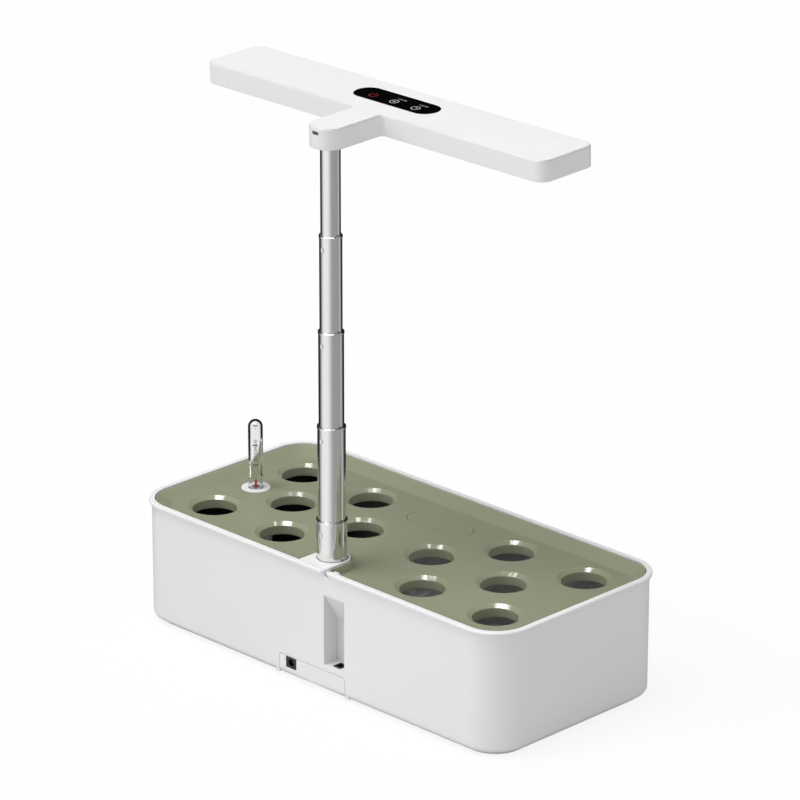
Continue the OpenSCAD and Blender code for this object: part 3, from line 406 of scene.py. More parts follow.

# %% [markdown]
# ## The tank, white outside, with painted shade inside
# Through the pod holes the inside of the tank looks grey at the right and almost black at the
# left. One material paints both the white wall and that shade: a rounded rectangle is measured
# from Object coordinates, and what lies inside it and above the floor gets painted shade, black
# at the left end and paler to the right. A dark band under the rim is a painted shadow in the
# gap round the deck. This is a shortcut that suits the deck in its place: with the deck lifted,
# the painted shade shows as dark paint. The cable recess is let out of that shade, because its
# walls belong to the outside, and it gets painted shade of its own, a slightly darker white.

# %% Masks for the painted shade inside, on the recess and in the gap round the deck
SHADED_INSIDE_HALF_L, SHADED_INSIDE_HALF_W, SHADED_INSIDE_R = 0.1963, 0.0916, 0.0283
SHADED_INSIDE_LOW, SHADED_INSIDE_HIGH = 0.0048, 0.0995
RECESS_X, RECESS_HALF, RECESS_FRONT_Y, WALL_FACE_Y = 0.02552, 0.0122, -0.0775, -0.0925
# Painted shadow in the gap under the rim, and painted shade inside: black at DARK_END_X, pale
# after FADE_LENGTH.
GAP_LOW, GAP_DEPTH = 0.0925, 0.0025
BRACKET_HALF = 0.045
DARK_END_X, FADE_LENGTH = -0.145, 0.1


def distance_from_core(tree, split):
    """Distance from the rounded rectangle's core, which is SHADED_INSIDE_R on its outline."""
    squares = []
    for axis, half in (("X", SHADED_INSIDE_HALF_L), ("Y", SHADED_INSIDE_HALF_W)):
        far = maths(tree, "SUBTRACT", maths(tree, "ABSOLUTE", (split, axis)), half - SHADED_INSIDE_R)
        far = maths(tree, "MAXIMUM", far, 0.0)
        squares.append(maths(tree, "MULTIPLY", far, far))
    return maths(tree, "SQRT", maths(tree, "ADD", *squares))


def all_of(tree, *masks):
    """1 where every mask is 1."""
    whole = masks[0]
    for mask in masks[1:]:
        whole = maths(tree, "MULTIPLY", whole, mask)
    return whole


def tank_masks(tree):
    """Masks of painted shade inside, on the recess walls and in the gap, and its fade."""
    coordinates = add_node(tree, "ShaderNodeTexCoord")
    split = add_node(tree, "ShaderNodeSeparateXYZ")
    wire(tree, (coordinates, "Object"), (split, "Vector"))
    length = distance_from_core(tree, split)
    inner = maths(tree, "LESS_THAN", length, SHADED_INSIDE_R)
    above_floor = maths(tree, "GREATER_THAN", (split, "Z"), SHADED_INSIDE_LOW)
    below_rim = maths(tree, "LESS_THAN", (split, "Z"), SHADED_INSIDE_HIGH)
    near_rear = maths(tree, "LESS_THAN", (split, "Y"), RECESS_FRONT_Y)
    beside = add_node(tree, "ShaderNodeMath", operation="COMPARE")
    for index, source in enumerate(((split, "X"), RECESS_X, RECESS_HALF)):
        wire(tree, source, (beside, index))
    recess = all_of(tree, (beside, "Value"), near_rear)
    inside_wall = maths(tree, "GREATER_THAN", (split, "Y"), WALL_FACE_Y)
    bracket = all_of(tree, near_rear, maths(
        tree, "LESS_THAN", maths(tree, "ABSOLUTE", (split, "X")), BRACKET_HALF))
    painted_shade_inside = all_of(tree, inner, above_floor, below_rim, maths(tree, "SUBTRACT", 1.0, recess))
    gap = all_of(tree, maths(tree, "GREATER_THAN", length, SHADED_INSIDE_R - GAP_DEPTH),
                 maths(tree, "GREATER_THAN", (split, "Z"), GAP_LOW),
                 maths(tree, "SUBTRACT", 1.0, bracket))
    fade = maths(tree, "MULTIPLY", maths(tree, "ADD", (split, "X"), -DARK_END_X),
                 1 / FADE_LENGTH, clamp=True)
    return painted_shade_inside, all_of(tree, recess, inside_wall, below_rim), gap, fade


# %% The tank's finish, with its painted shade
tank_plastic = moulded("tank_plastic", (0.93, 0.93, 0.925), 0.42, tint=0.012)
tree = tank_plastic.node_tree
shader = tree.nodes["Principled BSDF"]
moulded_white = (shader.inputs["Base Color"].links[0].from_node, 2)
painted_shade_inside, recess, gap, fade = tank_masks(tree)
# Painted shade inside the tank: black at the left end, pale grey to the right, and black in the
# painted shadow under the rim.
paleness = all_of(tree, fade, maths(tree, "SUBTRACT", 1.0, gap))
painted_shade_colour = blend_colours(tree, paleness, (0.02, 0.02, 0.02), (0.75, 0.75, 0.75))
# Painted shade on the cable recess's walls: a slightly darker white than the moulded one.
outer_colour = blend_colours(tree, recess, moulded_white, (0.82, 0.82, 0.82))
wire(tree, blend_colours(tree, painted_shade_inside, outer_colour, painted_shade_colour), (shader, "Base Color"))
print("the tank's lining is masked by Object coordinates")

# %% [markdown]
# ## Drawn steel tubes
# The mast's tubes are drawn through a die and polished, which leaves faint lines along them.
# The noise is squeezed along Z so that it turns into streaks, and it moves the roughness and
# a very small bump. The collars are turned, so their streaks run round instead.

# %% Steel finishes
def steel(name, colour, gloss, stretch, strength=0.12):
    """Steel with fine streaks, which run along the directions in which stretch is small."""
    material, tree, shader = new_finish(name)
    set_inputs(shader, {"Metallic": 1.0})
    normal, edges = rounded_edges(tree, 0.25 * MM)
    streaks = noise(tree, object_place(tree, scale=stretch), 900.0, 3.0, 0.6)
    smudges = noise(tree, object_place(tree), 45.0, 3.0)
    dull = tuple(c * 0.95 for c in colour)
    wire(tree, blend_colours(tree, spread(tree, streaks, 0.0, 1.0, 0.3, 0.7), dull, colour),
         (shader, "Base Color"))
    rough = spread(tree, streaks, gloss - 0.03, gloss + 0.03, 0.3, 0.7)
    rough = maths(tree, "ADD", rough, spread(tree, smudges, 0.0, 0.03, 0.45, 0.75))
    wire(tree, maths(tree, "ADD", rough, maths(tree, "MULTIPLY", edges, 0.05)),
         (shader, "Roughness"))
    add_bump(tree, shader, streaks, strength, 0.01 * MM, normal)
    return material


tube_steel = steel("tube_steel", (0.80, 0.80, 0.795), 0.17, (1, 1, 0.02))
collar_steel = steel("collar_steel", (0.84, 0.84, 0.835), 0.22, (0.03, 0.03, 1), 0.2)
screw_steel = steel("screw_steel", (0.70, 0.70, 0.70), 0.30, (1, 1, 1), 0.3)
print("steel finishes:", tube_steel.name, collar_steel.name, screw_steel.name)

# %% [markdown]
# ## Clear gauge tube, black glass and the lamp's window
# The gauge is a clear moulded tube. Its dark outline comes from the studio, as told above, so
# its shader only needs full transmission and a few faint scuffs. The control strip is gloss
# black acrylic, and the lamp's window is opal acrylic.

# %% Clear, black and opal plastics
ACRYLIC_IOR = 1.49


def sheer(name, colour, gloss, transmission, specular=0.5):
    """Smooth acrylic, from black to clear, with faint scuffs."""
    material, tree, shader = new_finish(name)
    set_inputs(shader, {"Transmission Weight": transmission, "IOR": ACRYLIC_IOR,
                        "Specular IOR Level": specular})
    place = object_place(tree)
    clouds = noise(tree, place, 40.0, 2.0)
    low = tuple(c * 0.97 for c in colour)
    wire(tree, blend_colours(tree, clouds, low, colour), (shader, "Base Color"))
    scuffs = noise(tree, place, 220.0, 4.0, 0.7)
    wire(tree, spread(tree, scuffs, gloss, gloss + 0.04, 0.5, 0.8), (shader, "Roughness"))
    return material


clear_plastic = sheer("clear_plastic", (0.93, 0.95, 0.95), 0.01, 1.0)
panel_black = sheer("panel_black", (0.002, 0.002, 0.002), 0.12, 0.0, specular=0.3)
opal_plastic = sheer("opal_plastic", (0.93, 0.94, 0.93), 0.32, 0.35)
print("made", clear_plastic.name, panel_black.name, opal_plastic.name)

# %% [markdown]
# ## Circuit boards
# A circuit board is glass fibre under a green or white solder mask, with copper tracks that
# show as slightly raised lines. A Brick texture gives the grid of tracks, and the same grid
# drives the bump.

# %% Board finishes
def board(name, mask_colour, track_colour, pitch):
    """A circuit board with a grid of tracks, its pitch in mm."""
    material, tree, shader = new_finish(name)
    tracks = add_node(tree, "ShaderNodeTexBrick")
    wire(tree, object_place(tree), (tracks, "Vector"))
    set_inputs(tracks, {"Color1": (0, 0, 0, 1), "Color2": (0, 0, 0, 1),
                        "Mortar": (1, 1, 1, 1), "Scale": 1 / (pitch * MM),
                        "Mortar Size": 0.03})
    wire(tree, blend_colours(tree, (tracks, "Color"), mask_colour, track_colour),
         (shader, "Base Color"))
    set_inputs(shader, {"Roughness": 0.28})
    add_bump(tree, shader, (tracks, "Color"), 0.4, 0.03 * MM)
    return material


circuit_green = board("circuit_green", (0.012, 0.12, 0.05), (0.03, 0.22, 0.09), 4.0)
led_white = board("led_white", (0.86, 0.86, 0.84), (0.78, 0.78, 0.75), 6.0)
print("board finishes:", circuit_green.name, led_white.name)

# %% Give every CAD node its finish
FINISH = {
    "tank": tank_plastic, "base_cover": base_plastic, "rubber_feet": foot_rubber,
    "base_screws": screw_steel, "control_cover": white_plastic, "dc_jack": black_plastic,
    "control_board": circuit_green, "board_screws": screw_steel,
    "pump_socket": black_plastic, "mast_bracket": white_plastic,
    "mast_socket": bush_plastic, "lamp_shell": white_plastic, "lamp_cover": white_plastic,
    "diffuser": opal_plastic, "led_board": led_white, "led_chips": float_foam,
    "touch_panel": panel_black, "touch_board": circuit_green, "lamp_port": port_plastic,
    "lamp_screws": screw_steel, "deck": olive_plastic, "gauge_flange": white_plastic,
    "gauge_tube": clear_plastic, "float_guide": white_plastic,
    "refill_lid": olive_plastic, "float": float_foam, "float_rod": red_plastic,
    "pump_body": pump_plastic, "pump_face": pump_plastic, "pump_strainer": pump_plastic,
    "pump_riser": pump_plastic, "suction_cups": cup_rubber, "impeller": rotor_plastic,
    "impeller_axle": screw_steel,
}
for number in range(1, 6):
    FINISH["mast_tube_%d" % number] = tube_steel
    if number < 5:
        FINISH["mast_collar_%d" % number] = collar_steel
    if number > 1:
        FINISH["slide_bush_%d" % number] = bush_plastic
assert set(FINISH) == set(nodes), set(FINISH) ^ set(nodes)
for name, material in FINISH.items():
    mesh = nodes[name].data
    mesh.materials.clear()
    mesh.materials.append(material)
print("finished", len(FINISH), "CAD nodes")

# %% [markdown]
# ## Where small pieces go
# A screw head or a printed mark has to sit on the piece that carries it. Instead of repeating
# the CAD model's numbers, this lesson asks its meshes: the triangles of a CAD node are merged
# in a copy, and each separate island of the copy gives one place. The lamp leans by 1.5
# degrees where it meets the mast, so what is laid out level for it is turned by the same matrix.

# %% Find places on the CAD nodes
def islands(node_name):
    """The lowest and highest corner of each separate piece of a CAD node."""
    bm = bmesh.new()
    bm.from_mesh(nodes[node_name].data)
    bmesh.ops.remove_doubles(bm, verts=bm.verts, dist=1e-6)
    left = set(bm.verts)
    found = []
    while left:
        pile = [left.pop()]
        points = []
        while pile:
            vertex = pile.pop()
            points.append(vertex.co.copy())
            for edge in vertex.link_edges:
                other = edge.other_vert(vertex)
                if other in left:
                    left.remove(other)
                    pile.append(other)
        found.append((Vector([min(p[i] for p in points) for i in range(3)]),
                      Vector([max(p[i] for p in points) for i in range(3)])))
    bm.free()
    return sorted(found, key=lambda pair: (round(pair[0].x, 4), round(pair[0].y, 4)))


def body_of(node_name):
    """The body that a CAD node belongs to."""
    for body, members in frame["record"]["behaviour"]["bodies"].items():
        if node_name in members:
            return body


LEAN = math.radians(1.5)
PIVOT = Vector((0, -69.6, 434.54)) * MM
lamp_lean = (Matrix.Translation(PIVOT) @ Matrix.Rotation(LEAN, 4, "X")
             @ Matrix.Translation(-PIVOT))
print("base screws:", len(islands("base_screws")), "lamp screws:", len(islands("lamp_screws")))

# %% Add a finished mesh to the scene
def add_piece(name, mesh, material=None, smooth_below=35):
    """Makes an object at the origin, with its place in its mesh."""
    piece = bpy.data.objects.new(name, mesh)
    scene.collection.objects.link(piece)
    if material is not None:
        mesh.materials.clear()
        mesh.materials.append(material)
    mesh.shade_smooth()
    mesh.set_sharp_from_angle(angle=math.radians(smooth_below))
    return piece


def lathe(name, profile, centre, segments=96):
    """Turns a closed (radius, height) profile round an upright axis through centre."""
    bm = bmesh.new()
    rings = []
    for radius, height in profile:
        if radius < 1e-9:
            rings.append([bm.verts.new(centre + Vector((0, 0, height)))])
            continue
        rings.append([bm.verts.new(centre + Vector((
            radius * math.cos(2 * math.pi * k / segments),
            radius * math.sin(2 * math.pi * k / segments), height)))
            for k in range(segments)])
    closed = profile[0][0] > 1e-9
    pairs = list(zip(rings, rings[1:])) + ([(rings[-1], rings[0])] if closed else [])
    for a, b in pairs:
        for k in range(segments):
            n = (k + 1) % segments
            corners = [a[k % len(a)], a[n % len(a)], b[n % len(b)], b[k % len(b)]]
            corners = [c for i, c in enumerate(corners) if c not in corners[:i]]
            if len(corners) > 2:
                bm.faces.new(corners)
    bmesh.ops.recalc_face_normals(bm, faces=bm.faces)
    mesh = bpy.data.meshes.new(name)
    bm.to_mesh(mesh)
    bm.free()
    return mesh


def node_group(name, inputs):
    """An empty Geometry Nodes group with a geometry input and named inputs of its own."""
    group = bpy.data.node_groups.new(name, "GeometryNodeTree")
    group.interface.new_socket("Geometry", in_out="INPUT", socket_type="NodeSocketGeometry")
    for label, kind in inputs:
        group.interface.new_socket(label, in_out="INPUT", socket_type="NodeSocket" + kind)
    group.interface.new_socket("Geometry", in_out="OUTPUT", socket_type="NodeSocketGeometry")
    return group, add_node(group, "NodeGroupInput"), add_node(group, "NodeGroupOutput")


def finish_group(group, shape, entry, exit_node):
    """Ends a tree in Realize Instances and Set Material."""
    real = add_node(group, "GeometryNodeRealizeInstances")
    paint = add_node(group, "GeometryNodeSetMaterial")
    wire(group, shape, (real, "Geometry"))
    wire(group, (real, "Geometry"), (paint, "Geometry"))
    wire(group, (entry, "Material"), (paint, "Material"))
    wire(group, (paint, "Geometry"), (exit_node, "Geometry"))


def run_group(name, group, start_mesh, values):
    """Runs a group on a mesh and gives back the plain mesh that it makes."""
    carrier = bpy.data.objects.new(name + "_carrier", start_mesh)
    scene.collection.objects.link(carrier)
    modifier = carrier.modifiers.new("nodes", "NODES")
    modifier.node_group = group
    for item in group.interface.items_tree:
        if item.item_type == "SOCKET" and item.in_out == "INPUT" and item.name in values:
            modifier[item.identifier] = values[item.name]
    graph = bpy.context.evaluated_depsgraph_get()
    made = bpy.data.meshes.new_from_object(carrier.evaluated_get(graph), depsgraph=graph)
    bpy.data.objects.remove(carrier)
    return made


print("helpers for pieces are ready")

# %% [markdown]
# ## Clear tube of the water gauge
# The gauge is a test tube turned upside down, with a wall nearly 2 mm thick. Its outline is as
# wide as that wall, and the wall bends the deck behind it upwards at the right. Both need a
# smooth wall, thicker than the 1 mm of the CAD tube, so the tube is turned on a lathe again
# here, and it stands for the CAD tube.

# %% Gauge tube
low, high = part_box("gauge_tube")
gauge_at = Vector(((low.x + high.x) / 2, (low.y + high.y) / 2, 0))
gauge_r = (high.x - low.x) / 2
gauge_wall = 1.75 * MM
dome = high.z - gauge_r


def dome_arc(radius, angles):
    """Points on the dome's quarter circle, at angles in degrees above level."""
    return [(radius * math.cos(math.radians(a)), dome + radius * math.sin(math.radians(a)))
            for a in angles]


outline = ([(0, high.z)] + dome_arc(gauge_r, range(85, -1, -5))
           + [(gauge_r, low.z), (gauge_r - gauge_wall, low.z)]
           + dome_arc(gauge_r - gauge_wall, range(0, 90, 5)) + [(0, high.z - gauge_wall)])
gauge_glass = add_piece("gauge_glass", lathe("gauge_glass", outline, gauge_at), clear_plastic)
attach(gauge_glass, body_of("gauge_tube"))
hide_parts("gauge_tube")
print("gauge tube: radius %.2f mm, dome from z %.1f mm" % (gauge_r / MM, dome / MM))

# %% [markdown]
# ## Bush at the foot of the clear tube
# Inside the tube's foot a small white bush keeps the red rod in the middle. It is a ring with
# a raised lip, turned on the same lathe, and the rod slides through it without touching.

# %% Rod bush
bush_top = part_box("gauge_flange")[1].z - 0.35 * MM
bush_profile = [(radius * MM, bush_top + height * MM) for radius, height in (
    (1.35, -1.6), (4.05, -1.6), (4.05, -0.1), (3.95, 0.0), (3.3, 0.0), (3.2, -0.45),
    (2.5, -0.45), (2.4, 0.0), (1.45, 0.0), (1.35, -0.1))]
rod_bush = add_piece("rod_bush", lathe("rod_bush", bush_profile, gauge_at, 64), white_plastic)
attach(rod_bush, body_of("gauge_tube"))
print("rod bush has", len(rod_bush.data.polygons), "faces")

# %% [markdown]
# ## Marks on the gauge
# The scale is printed on the tube: fine ticks 1.25 mm apart, bolder lines at the full, middle
# and low levels, and a plain number under each. A tick is one thin box. A Mesh Line copies it
# along the tube, and a Set Position node then bends the flat print onto the round wall: its
# width becomes an angle, and height stays height. Near the top the wall curves in, so the
# radius there follows the dome.

# %% A node group that prints flat marks on the tube
INK_HEIGHT = 0.03 * MM
marks, entry, exit_node = node_group("print_on_tube", [
    ("Count", "Int"), ("Step", "Float"), ("First", "Float"), ("Width", "Float"),
    ("Height", "Float"), ("Radius", "Float"), ("Dome", "Float"), ("Middle", "Vector"),
    ("Facing", "Float"), ("Material", "Material")])
size = add_node(marks, "ShaderNodeCombineXYZ")
wire(marks, (entry, "Width"), (size, "X"))
wire(marks, (entry, "Height"), (size, "Y"))
wire(marks, INK_HEIGHT, (size, "Z"))
tick = add_node(marks, "GeometryNodeMeshCube")
wire(marks, (size, "Vector"), (tick, "Size"))
wire(marks, 9, (tick, "Vertices X"))
offset = add_node(marks, "ShaderNodeCombineXYZ")
wire(marks, (entry, "Step"), (offset, "Y"))
start = add_node(marks, "ShaderNodeCombineXYZ")
wire(marks, (entry, "First"), (start, "Y"))
column = add_node(marks, "GeometryNodeMeshLine")
wire(marks, (entry, "Count"), (column, "Count"))
wire(marks, (start, "Vector"), (column, "Start Location"))
wire(marks, (offset, "Vector"), (column, "Offset"))
copies = add_node(marks, "GeometryNodeInstanceOnPoints")
wire(marks, (column, "Mesh"), (copies, "Points"))
wire(marks, (tick, "Mesh"), (copies, "Instance"))
loose = add_node(marks, "GeometryNodeRealizeInstances")
wire(marks, (copies, "Instances"), (loose, "Geometry"))
both = add_node(marks, "GeometryNodeJoinGeometry")
wire(marks, (loose, "Geometry"), (both, "Geometry"))
wire(marks, (entry, "Geometry"), (both, "Geometry"))
flat = add_node(marks, "ShaderNodeSeparateXYZ")
wire(marks, (add_node(marks, "GeometryNodeInputPosition"), "Position"), (flat, "Vector"))
above = maths(marks, "MAXIMUM", maths(marks, "SUBTRACT", (flat, "Y"), (entry, "Dome")), 0.0)
inward = maths(marks, "SUBTRACT",
               maths(marks, "MULTIPLY", (entry, "Radius"), (entry, "Radius")),
               maths(marks, "MULTIPLY", above, above))
reach = maths(marks, "ADD", maths(marks, "SQRT", inward), (flat, "Z"))
angle = maths(marks, "ADD", (entry, "Facing"),
              maths(marks, "DIVIDE", (flat, "X"), (entry, "Radius")))
round_place = add_node(marks, "ShaderNodeCombineXYZ")
wire(marks, maths(marks, "MULTIPLY", reach, maths(marks, "COSINE", angle)), (round_place, "X"))
wire(marks, maths(marks, "MULTIPLY", reach, maths(marks, "SINE", angle)), (round_place, "Y"))
wire(marks, (flat, "Y"), (round_place, "Z"))
moved = add_node(marks, "ShaderNodeVectorMath", operation="ADD")
wire(marks, (round_place, "Vector"), (moved, 0))
wire(marks, (entry, "Middle"), (moved, 1))
bend = add_node(marks, "GeometryNodeSetPosition")
wire(marks, (both, "Geometry"), (bend, "Geometry"))
wire(marks, (moved, "Vector"), (bend, "Position"))
finish_group(marks, (bend, "Geometry"), entry, exit_node)
print("print_on_tube has", len(marks.nodes), "nodes")

# %% Plain numbers as flat meshes
NUMBER_HEIGHT = 0.02 * MM


def numbers(text, size, place):
    """A line of plain numbers, extruded and lying flat, with its middle at place."""
    line = bpy.data.curves.new("number", "FONT")
    line.body = text
    line.size = size
    line.align_x, line.align_y = "CENTER", "CENTER"
    line.extrude = NUMBER_HEIGHT / 2
    line.offset = 0.02 * size
    line.resolution_u = 3
    holder = bpy.data.objects.new("number", line)
    scene.collection.objects.link(holder)
    graph = bpy.context.evaluated_depsgraph_get()
    mesh = bpy.data.meshes.new_from_object(holder.evaluated_get(graph), depsgraph=graph)
    bpy.data.objects.remove(holder)
    mesh.transform(Matrix.Translation(place))
    return mesh


def joined(name, meshes):
    """One mesh out of several."""
    bm = bmesh.new()
    for mesh in meshes:
        bm.from_mesh(mesh)
    whole = bpy.data.meshes.new(name)
    bm.to_mesh(whole)
    bm.free()
    return whole


print("a number 3 has", len(numbers("3", 2 * MM, Vector()).polygons), "faces")

# %% Print the scale
ink_black = moulded("ink_black", (0.035, 0.035, 0.04), 0.5, grain=0.1, tint=0.2, edge=0.02)
ink_grey = moulded("ink_grey", (0.16, 0.165, 0.17), 0.5, grain=0.1, tint=0.2, edge=0.02)
on_tube = {"Radius": gauge_r + 0.015 * MM, "Dome": dome, "Middle": tuple(gauge_at),
           "Facing": FACING}
NUMBER_SIZE, NUMBER_DROPS = 1.9 * MM, (("3", 5.7), ("2", 23.0), ("1", 38.6))
number_mesh = joined("gauge_numbers", [
    numbers(text, NUMBER_SIZE, Vector((0, high.z - drop * MM, 0)))
    for text, drop in NUMBER_DROPS])
empty_mesh = bpy.data.meshes.new("no_marks")
# Name, count, step, drop of the first line below the tube's top, width, height, ink and numbers.
# A step below zero goes down the tube, and the lengths are in mm.
LINES = (("gauge_ticks", 15, -1.25, 15.6, 2.6, 0.42, ink_grey, empty_mesh),
         ("gauge_level_lines", 3, -16.6, 3.6, 4.3, 0.75, ink_black, number_mesh))
for name, count, step, first, width, height, ink, flat_mesh in LINES:
    made = run_group(name, marks, flat_mesh, {
        **on_tube, "Count": count, "Step": step * MM, "First": high.z - first * MM,
        "Width": width * MM, "Height": height * MM, "Material": ink})
    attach(add_piece(name, made, ink), body_of("gauge_tube"))
    print(name, "has", len(made.polygons), "faces")

# %% [markdown]
# ## Screws with a cross recess
# The screws under the base and under the lamp have a low domed head with a cross recess. One
# screw is turned on the lathe and its recess is cut with a Boolean, by a cross whose arms
# narrow towards the shaft, as a real bit's do. A node group then sets a copy on each place
# that the CAD screws hold, leaning where the lamp leans.

# %% Turn one screw and cut its recess
HEAD_R, SHAFT_R, SCREW_LENGTH = 2.6 * MM, 1.3 * MM, 7 * MM


def screw_mesh(name, head_r, head_h, shaft_r, length):
    """A screw with its head's face at height 0 and its shaft pointing up."""
    profile = [(0, 0), (0.45 * head_r, 0.02 * head_h), (0.78 * head_r, 0.14 * head_h),
               (0.93 * head_r, 0.36 * head_h), (head_r, 0.7 * head_h), (head_r, head_h),
               (shaft_r, head_h), (shaft_r, length - 1.2 * MM), (0.3 * shaft_r, length),
               (0, length)]
    screw = bpy.data.objects.new(name, lathe(name, profile, Vector(), 48))
    scene.collection.objects.link(screw)
    deep = 0.75 * head_h
    bm = bmesh.new()
    for turn in (0, math.pi / 2):
        corners = []
        for z, half_l, half_w in ((-deep, 0.66 * head_r, 0.17 * head_r),
                                  (deep, 0.40 * head_r, 0.10 * head_r)):
            for sx, sy in ((-1, -1), (1, -1), (1, 1), (-1, 1)):
                spot = Vector((sx * half_l, sy * half_w, z))
                corners.append(bm.verts.new(Matrix.Rotation(turn, 3, "Z") @ spot))
        lower, upper = corners[:4], corners[4:]
        bm.faces.new(lower)
        bm.faces.new(upper)
        for k in range(4):
            n = (k + 1) % 4
            bm.faces.new((lower[k], lower[n], upper[n], upper[k]))
    bmesh.ops.recalc_face_normals(bm, faces=bm.faces)
    bit_mesh = bpy.data.meshes.new("bit")
    bm.to_mesh(bit_mesh)
    bm.free()
    bit = bpy.data.objects.new("bit", bit_mesh)
    scene.collection.objects.link(bit)
    cut = screw.modifiers.new("recess", "BOOLEAN")
    cut.operation, cut.solver, cut.object, cut.use_self = "DIFFERENCE", "EXACT", bit, True
    graph = bpy.context.evaluated_depsgraph_get()
    done = bpy.data.meshes.new_from_object(screw.evaluated_get(graph), depsgraph=graph)
    bpy.data.objects.remove(screw)
    bpy.data.objects.remove(bit)
    return done


seats, entry, exit_node = node_group("screws_on_seats", [
    ("Screw", "Object"), ("Lean", "Float"), ("Material", "Material")])
which = add_node(seats, "GeometryNodeObjectInfo")
wire(seats, (entry, "Screw"), (which, "Object"))
turn = add_node(seats, "ShaderNodeCombineXYZ")
wire(seats, (entry, "Lean"), (turn, "X"))
copies = add_node(seats, "GeometryNodeInstanceOnPoints")
wire(seats, (entry, "Geometry"), (copies, "Points"))
wire(seats, (which, "Geometry"), (copies, "Instance"))
wire(seats, (turn, "Vector"), (copies, "Rotation"))
finish_group(seats, (copies, "Instances"), entry, exit_node)

# %% Set a screw on each place
for node_name, head_h, lean in (("base_screws", 1.4, 0.0), ("lamp_screws", 0.7, LEAN)):
    half_screw = Vector((0, -math.sin(lean), math.cos(lean))) * (SCREW_LENGTH / 2)
    points = [(low + high) / 2 - half_screw for low, high in islands(node_name)]
    spots = bpy.data.meshes.new(node_name + "_spots")
    spots.from_pydata(points, [], [])
    pattern = bpy.data.objects.new("one_screw", screw_mesh(
        "one_screw", HEAD_R, head_h * MM, SHAFT_R, SCREW_LENGTH))
    scene.collection.objects.link(pattern)
    made = run_group(node_name, seats, spots, {
        "Screw": pattern, "Lean": lean, "Material": screw_steel})
    bpy.data.objects.remove(pattern)
    piece = add_piece("cross_" + node_name, made, screw_steel)
    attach(piece, body_of(node_name))
    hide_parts(node_name)
    print("%s: %d screws, %d faces" % (node_name, len(points), len(made.polygons)))

# %% [markdown]
# ## Lamp chips
# Each light chip is a small white housing with a pool of yellow phosphor in it. The CAD model
# has the housings, and the pools are shallow round lenses, one under each.

# %% Yellow lenses under the chips
LENS_R, LENS_DROP, FLATNESS = 1.15 * MM, 0.42 * MM, 0.25
lenses, entry, exit_node = node_group("lenses_on_chips", [
    ("Radius", "Float"), ("Lean", "Float"), ("Material", "Material")])
lens = add_node(lenses, "GeometryNodeMeshUVSphere")
wire(lenses, 12, (lens, "Segments"))
wire(lenses, 6, (lens, "Rings"))
wire(lenses, (entry, "Radius"), (lens, "Radius"))
flatten = add_node(lenses, "GeometryNodeTransform")
wire(lenses, (lens, "Mesh"), (flatten, "Geometry"))
wire(lenses, (1, 1, FLATNESS), (flatten, "Scale"))
turn = add_node(lenses, "ShaderNodeCombineXYZ")
wire(lenses, (entry, "Lean"), (turn, "X"))
copies = add_node(lenses, "GeometryNodeInstanceOnPoints")
wire(lenses, (entry, "Geometry"), (copies, "Points"))
wire(lenses, (flatten, "Geometry"), (copies, "Instance"))
wire(lenses, (turn, "Vector"), (copies, "Rotation"))
finish_group(lenses, (copies, "Instances"), entry, exit_node)
phosphor = moulded("phosphor", (0.80, 0.66, 0.12), 0.25, grain=0.2, tint=0.08, edge=0.05)
chips = islands("led_chips")
spots = bpy.data.meshes.new("chip_spots")
spots.from_pydata([(low + high) / 2 - Vector((0, 0, LENS_DROP)) for low, high in chips], [], [])
made = run_group("led_lenses", lenses, spots, {
    "Radius": LENS_R, "Lean": LEAN, "Material": phosphor})
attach(add_piece("led_lenses", made, phosphor, 80), body_of("led_chips"))
print(len(chips), "chips,", len(made.polygons), "faces on their lenses")

# %% [markdown]
# ## Marks on the control strip
# The strip carries a red power mark, two round keys with simple strokes in them, and a line of
# plain numbers over each key. Such marks are silk-screened, so each is a raised band only a
# few hundredths of a millimetre high. They are drawn level and then lean with the lamp.

# %% Bands, bars and numbers on the strip
STRIP_TOP = 451.04 * MM
MARK_LOW, MARK_HIGH = STRIP_TOP - 0.01 * MM, STRIP_TOP + 0.02 * MM


def band(bm, centre, radius, line, start=0, sweep=360, steps=40):
    """A flat ring, or part of one, with a real thickness."""
    whole = sweep == 360
    rows = []
    for k in range(steps + (0 if whole else 1)):
        angle = math.radians(start + sweep * k / steps)
        out = Vector((math.cos(angle), math.sin(angle), 0))
        rows.append([bm.verts.new(Vector((*centre, z)) + out * (radius + side * line / 2))
                     for side, z in ((-1, MARK_LOW), (1, MARK_LOW),
                                     (1, MARK_HIGH), (-1, MARK_HIGH))])
    for k in range(len(rows) if whole else len(rows) - 1):
        a, b = rows[k], rows[(k + 1) % len(rows)]
        for j in range(4):
            bm.faces.new((a[j], a[(j + 1) % 4], b[(j + 1) % 4], b[j]))
    if not whole:
        bm.faces.new(rows[0][::-1])
        bm.faces.new(rows[-1])


def bar(bm, start, stop, line):
    """A straight stroke between two points."""
    start, stop = Vector((*start, 0)), Vector((*stop, 0))
    along = (stop - start).normalized()
    side = Vector((-along.y, along.x, 0)) * line / 2
    foot = [start - side, stop - side, stop + side, start + side]
    rings = [[bm.verts.new(p + Vector((0, 0, z))) for p in foot] for z in (MARK_LOW, MARK_HIGH)]
    bm.faces.new(rings[0][::-1])
    bm.faces.new(rings[1])
    for k in range(4):
        n = (k + 1) % 4
        bm.faces.new((rings[0][k], rings[0][n], rings[1][n], rings[1][k]))


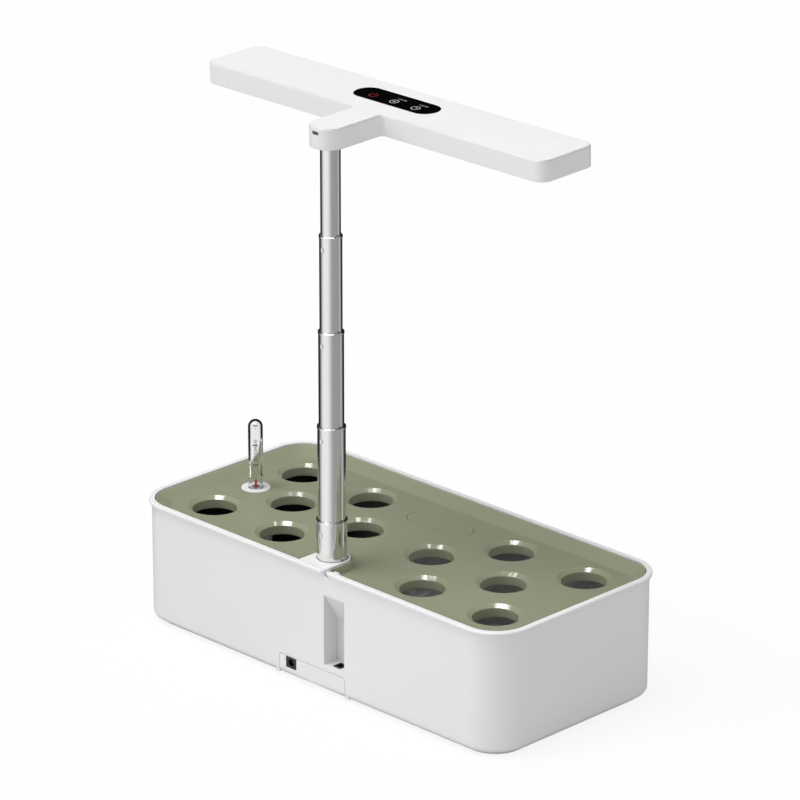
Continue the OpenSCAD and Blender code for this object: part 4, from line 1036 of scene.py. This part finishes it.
def strip_mesh(name, draw, extra=()):
    """Draws marks level, adds any extra meshes, and leans all of it with the lamp."""
    bm = bmesh.new()
    draw(bm)
    bmesh.ops.recalc_face_normals(bm, faces=bm.faces)
    for mesh in extra:
        bm.from_mesh(mesh)
    mesh = bpy.data.meshes.new(name)
    bm.to_mesh(mesh)
    bm.free()
    mesh.transform(lamp_lean)
    return mesh


def mm(*values):
    """Millimetres as metres."""
    return tuple(v * MM for v in values)


# %% Draw the marks
POWER_AT = (-22.8, -1.3)
KEYS_AT = ((0.0, -1.95), (22.9, -2.4))
HANDS = (((-1.6, -1.95), (1.6, -1.95), 0.7), ((0, -3.5), (0, -0.4), 0.7),
         ((22.9, -2.7), (22.9, -0.2), 0.6), ((22.6, -2.4), (24.9, -2.4), 0.6))


def draw_power(bm):
    """A ring, open at the top, with an upright stroke in the opening."""
    band(bm, mm(*POWER_AT), 3.4 * MM, 0.9 * MM, 125, 290, 32)
    bar(bm, mm(POWER_AT[0], -0.2), mm(POWER_AT[0], 3.0), 0.9 * MM)


def draw_keys(bm):
    """Two rings: a cross in one and the hands of a clock in the other."""
    for key_at in KEYS_AT:
        band(bm, mm(*key_at), 3.5 * MM, 0.7 * MM)
    for start, stop, line in HANDS:
        bar(bm, mm(*start), mm(*stop), line * MM)


ink_red = moulded("ink_red", (0.28, 0.012, 0.022), 0.4, grain=0.1, tint=0.1, edge=0.02)
ink_white = moulded("ink_white", (0.62, 0.62, 0.62), 0.4, grain=0.1, tint=0.1, edge=0.02)
LABEL_SIZE, LABELS_AT = 2.6 * MM, ((1.9, 4.6), (24.0, 5.0))
over_keys = [numbers("1 2 3 4 5", LABEL_SIZE, Vector(mm(x, y, STRIP_TOP / MM + 0.01)))
             for x, y in LABELS_AT]
for name, draw, extra, ink in (("power_mark", draw_power, (), ink_red),
                               ("key_marks", draw_keys, over_keys, ink_white)):
    piece = add_piece(name, strip_mesh(name, draw, extra), ink)
    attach(piece, body_of("touch_panel"))
    print(name, "has", len(piece.data.polygons), "faces")
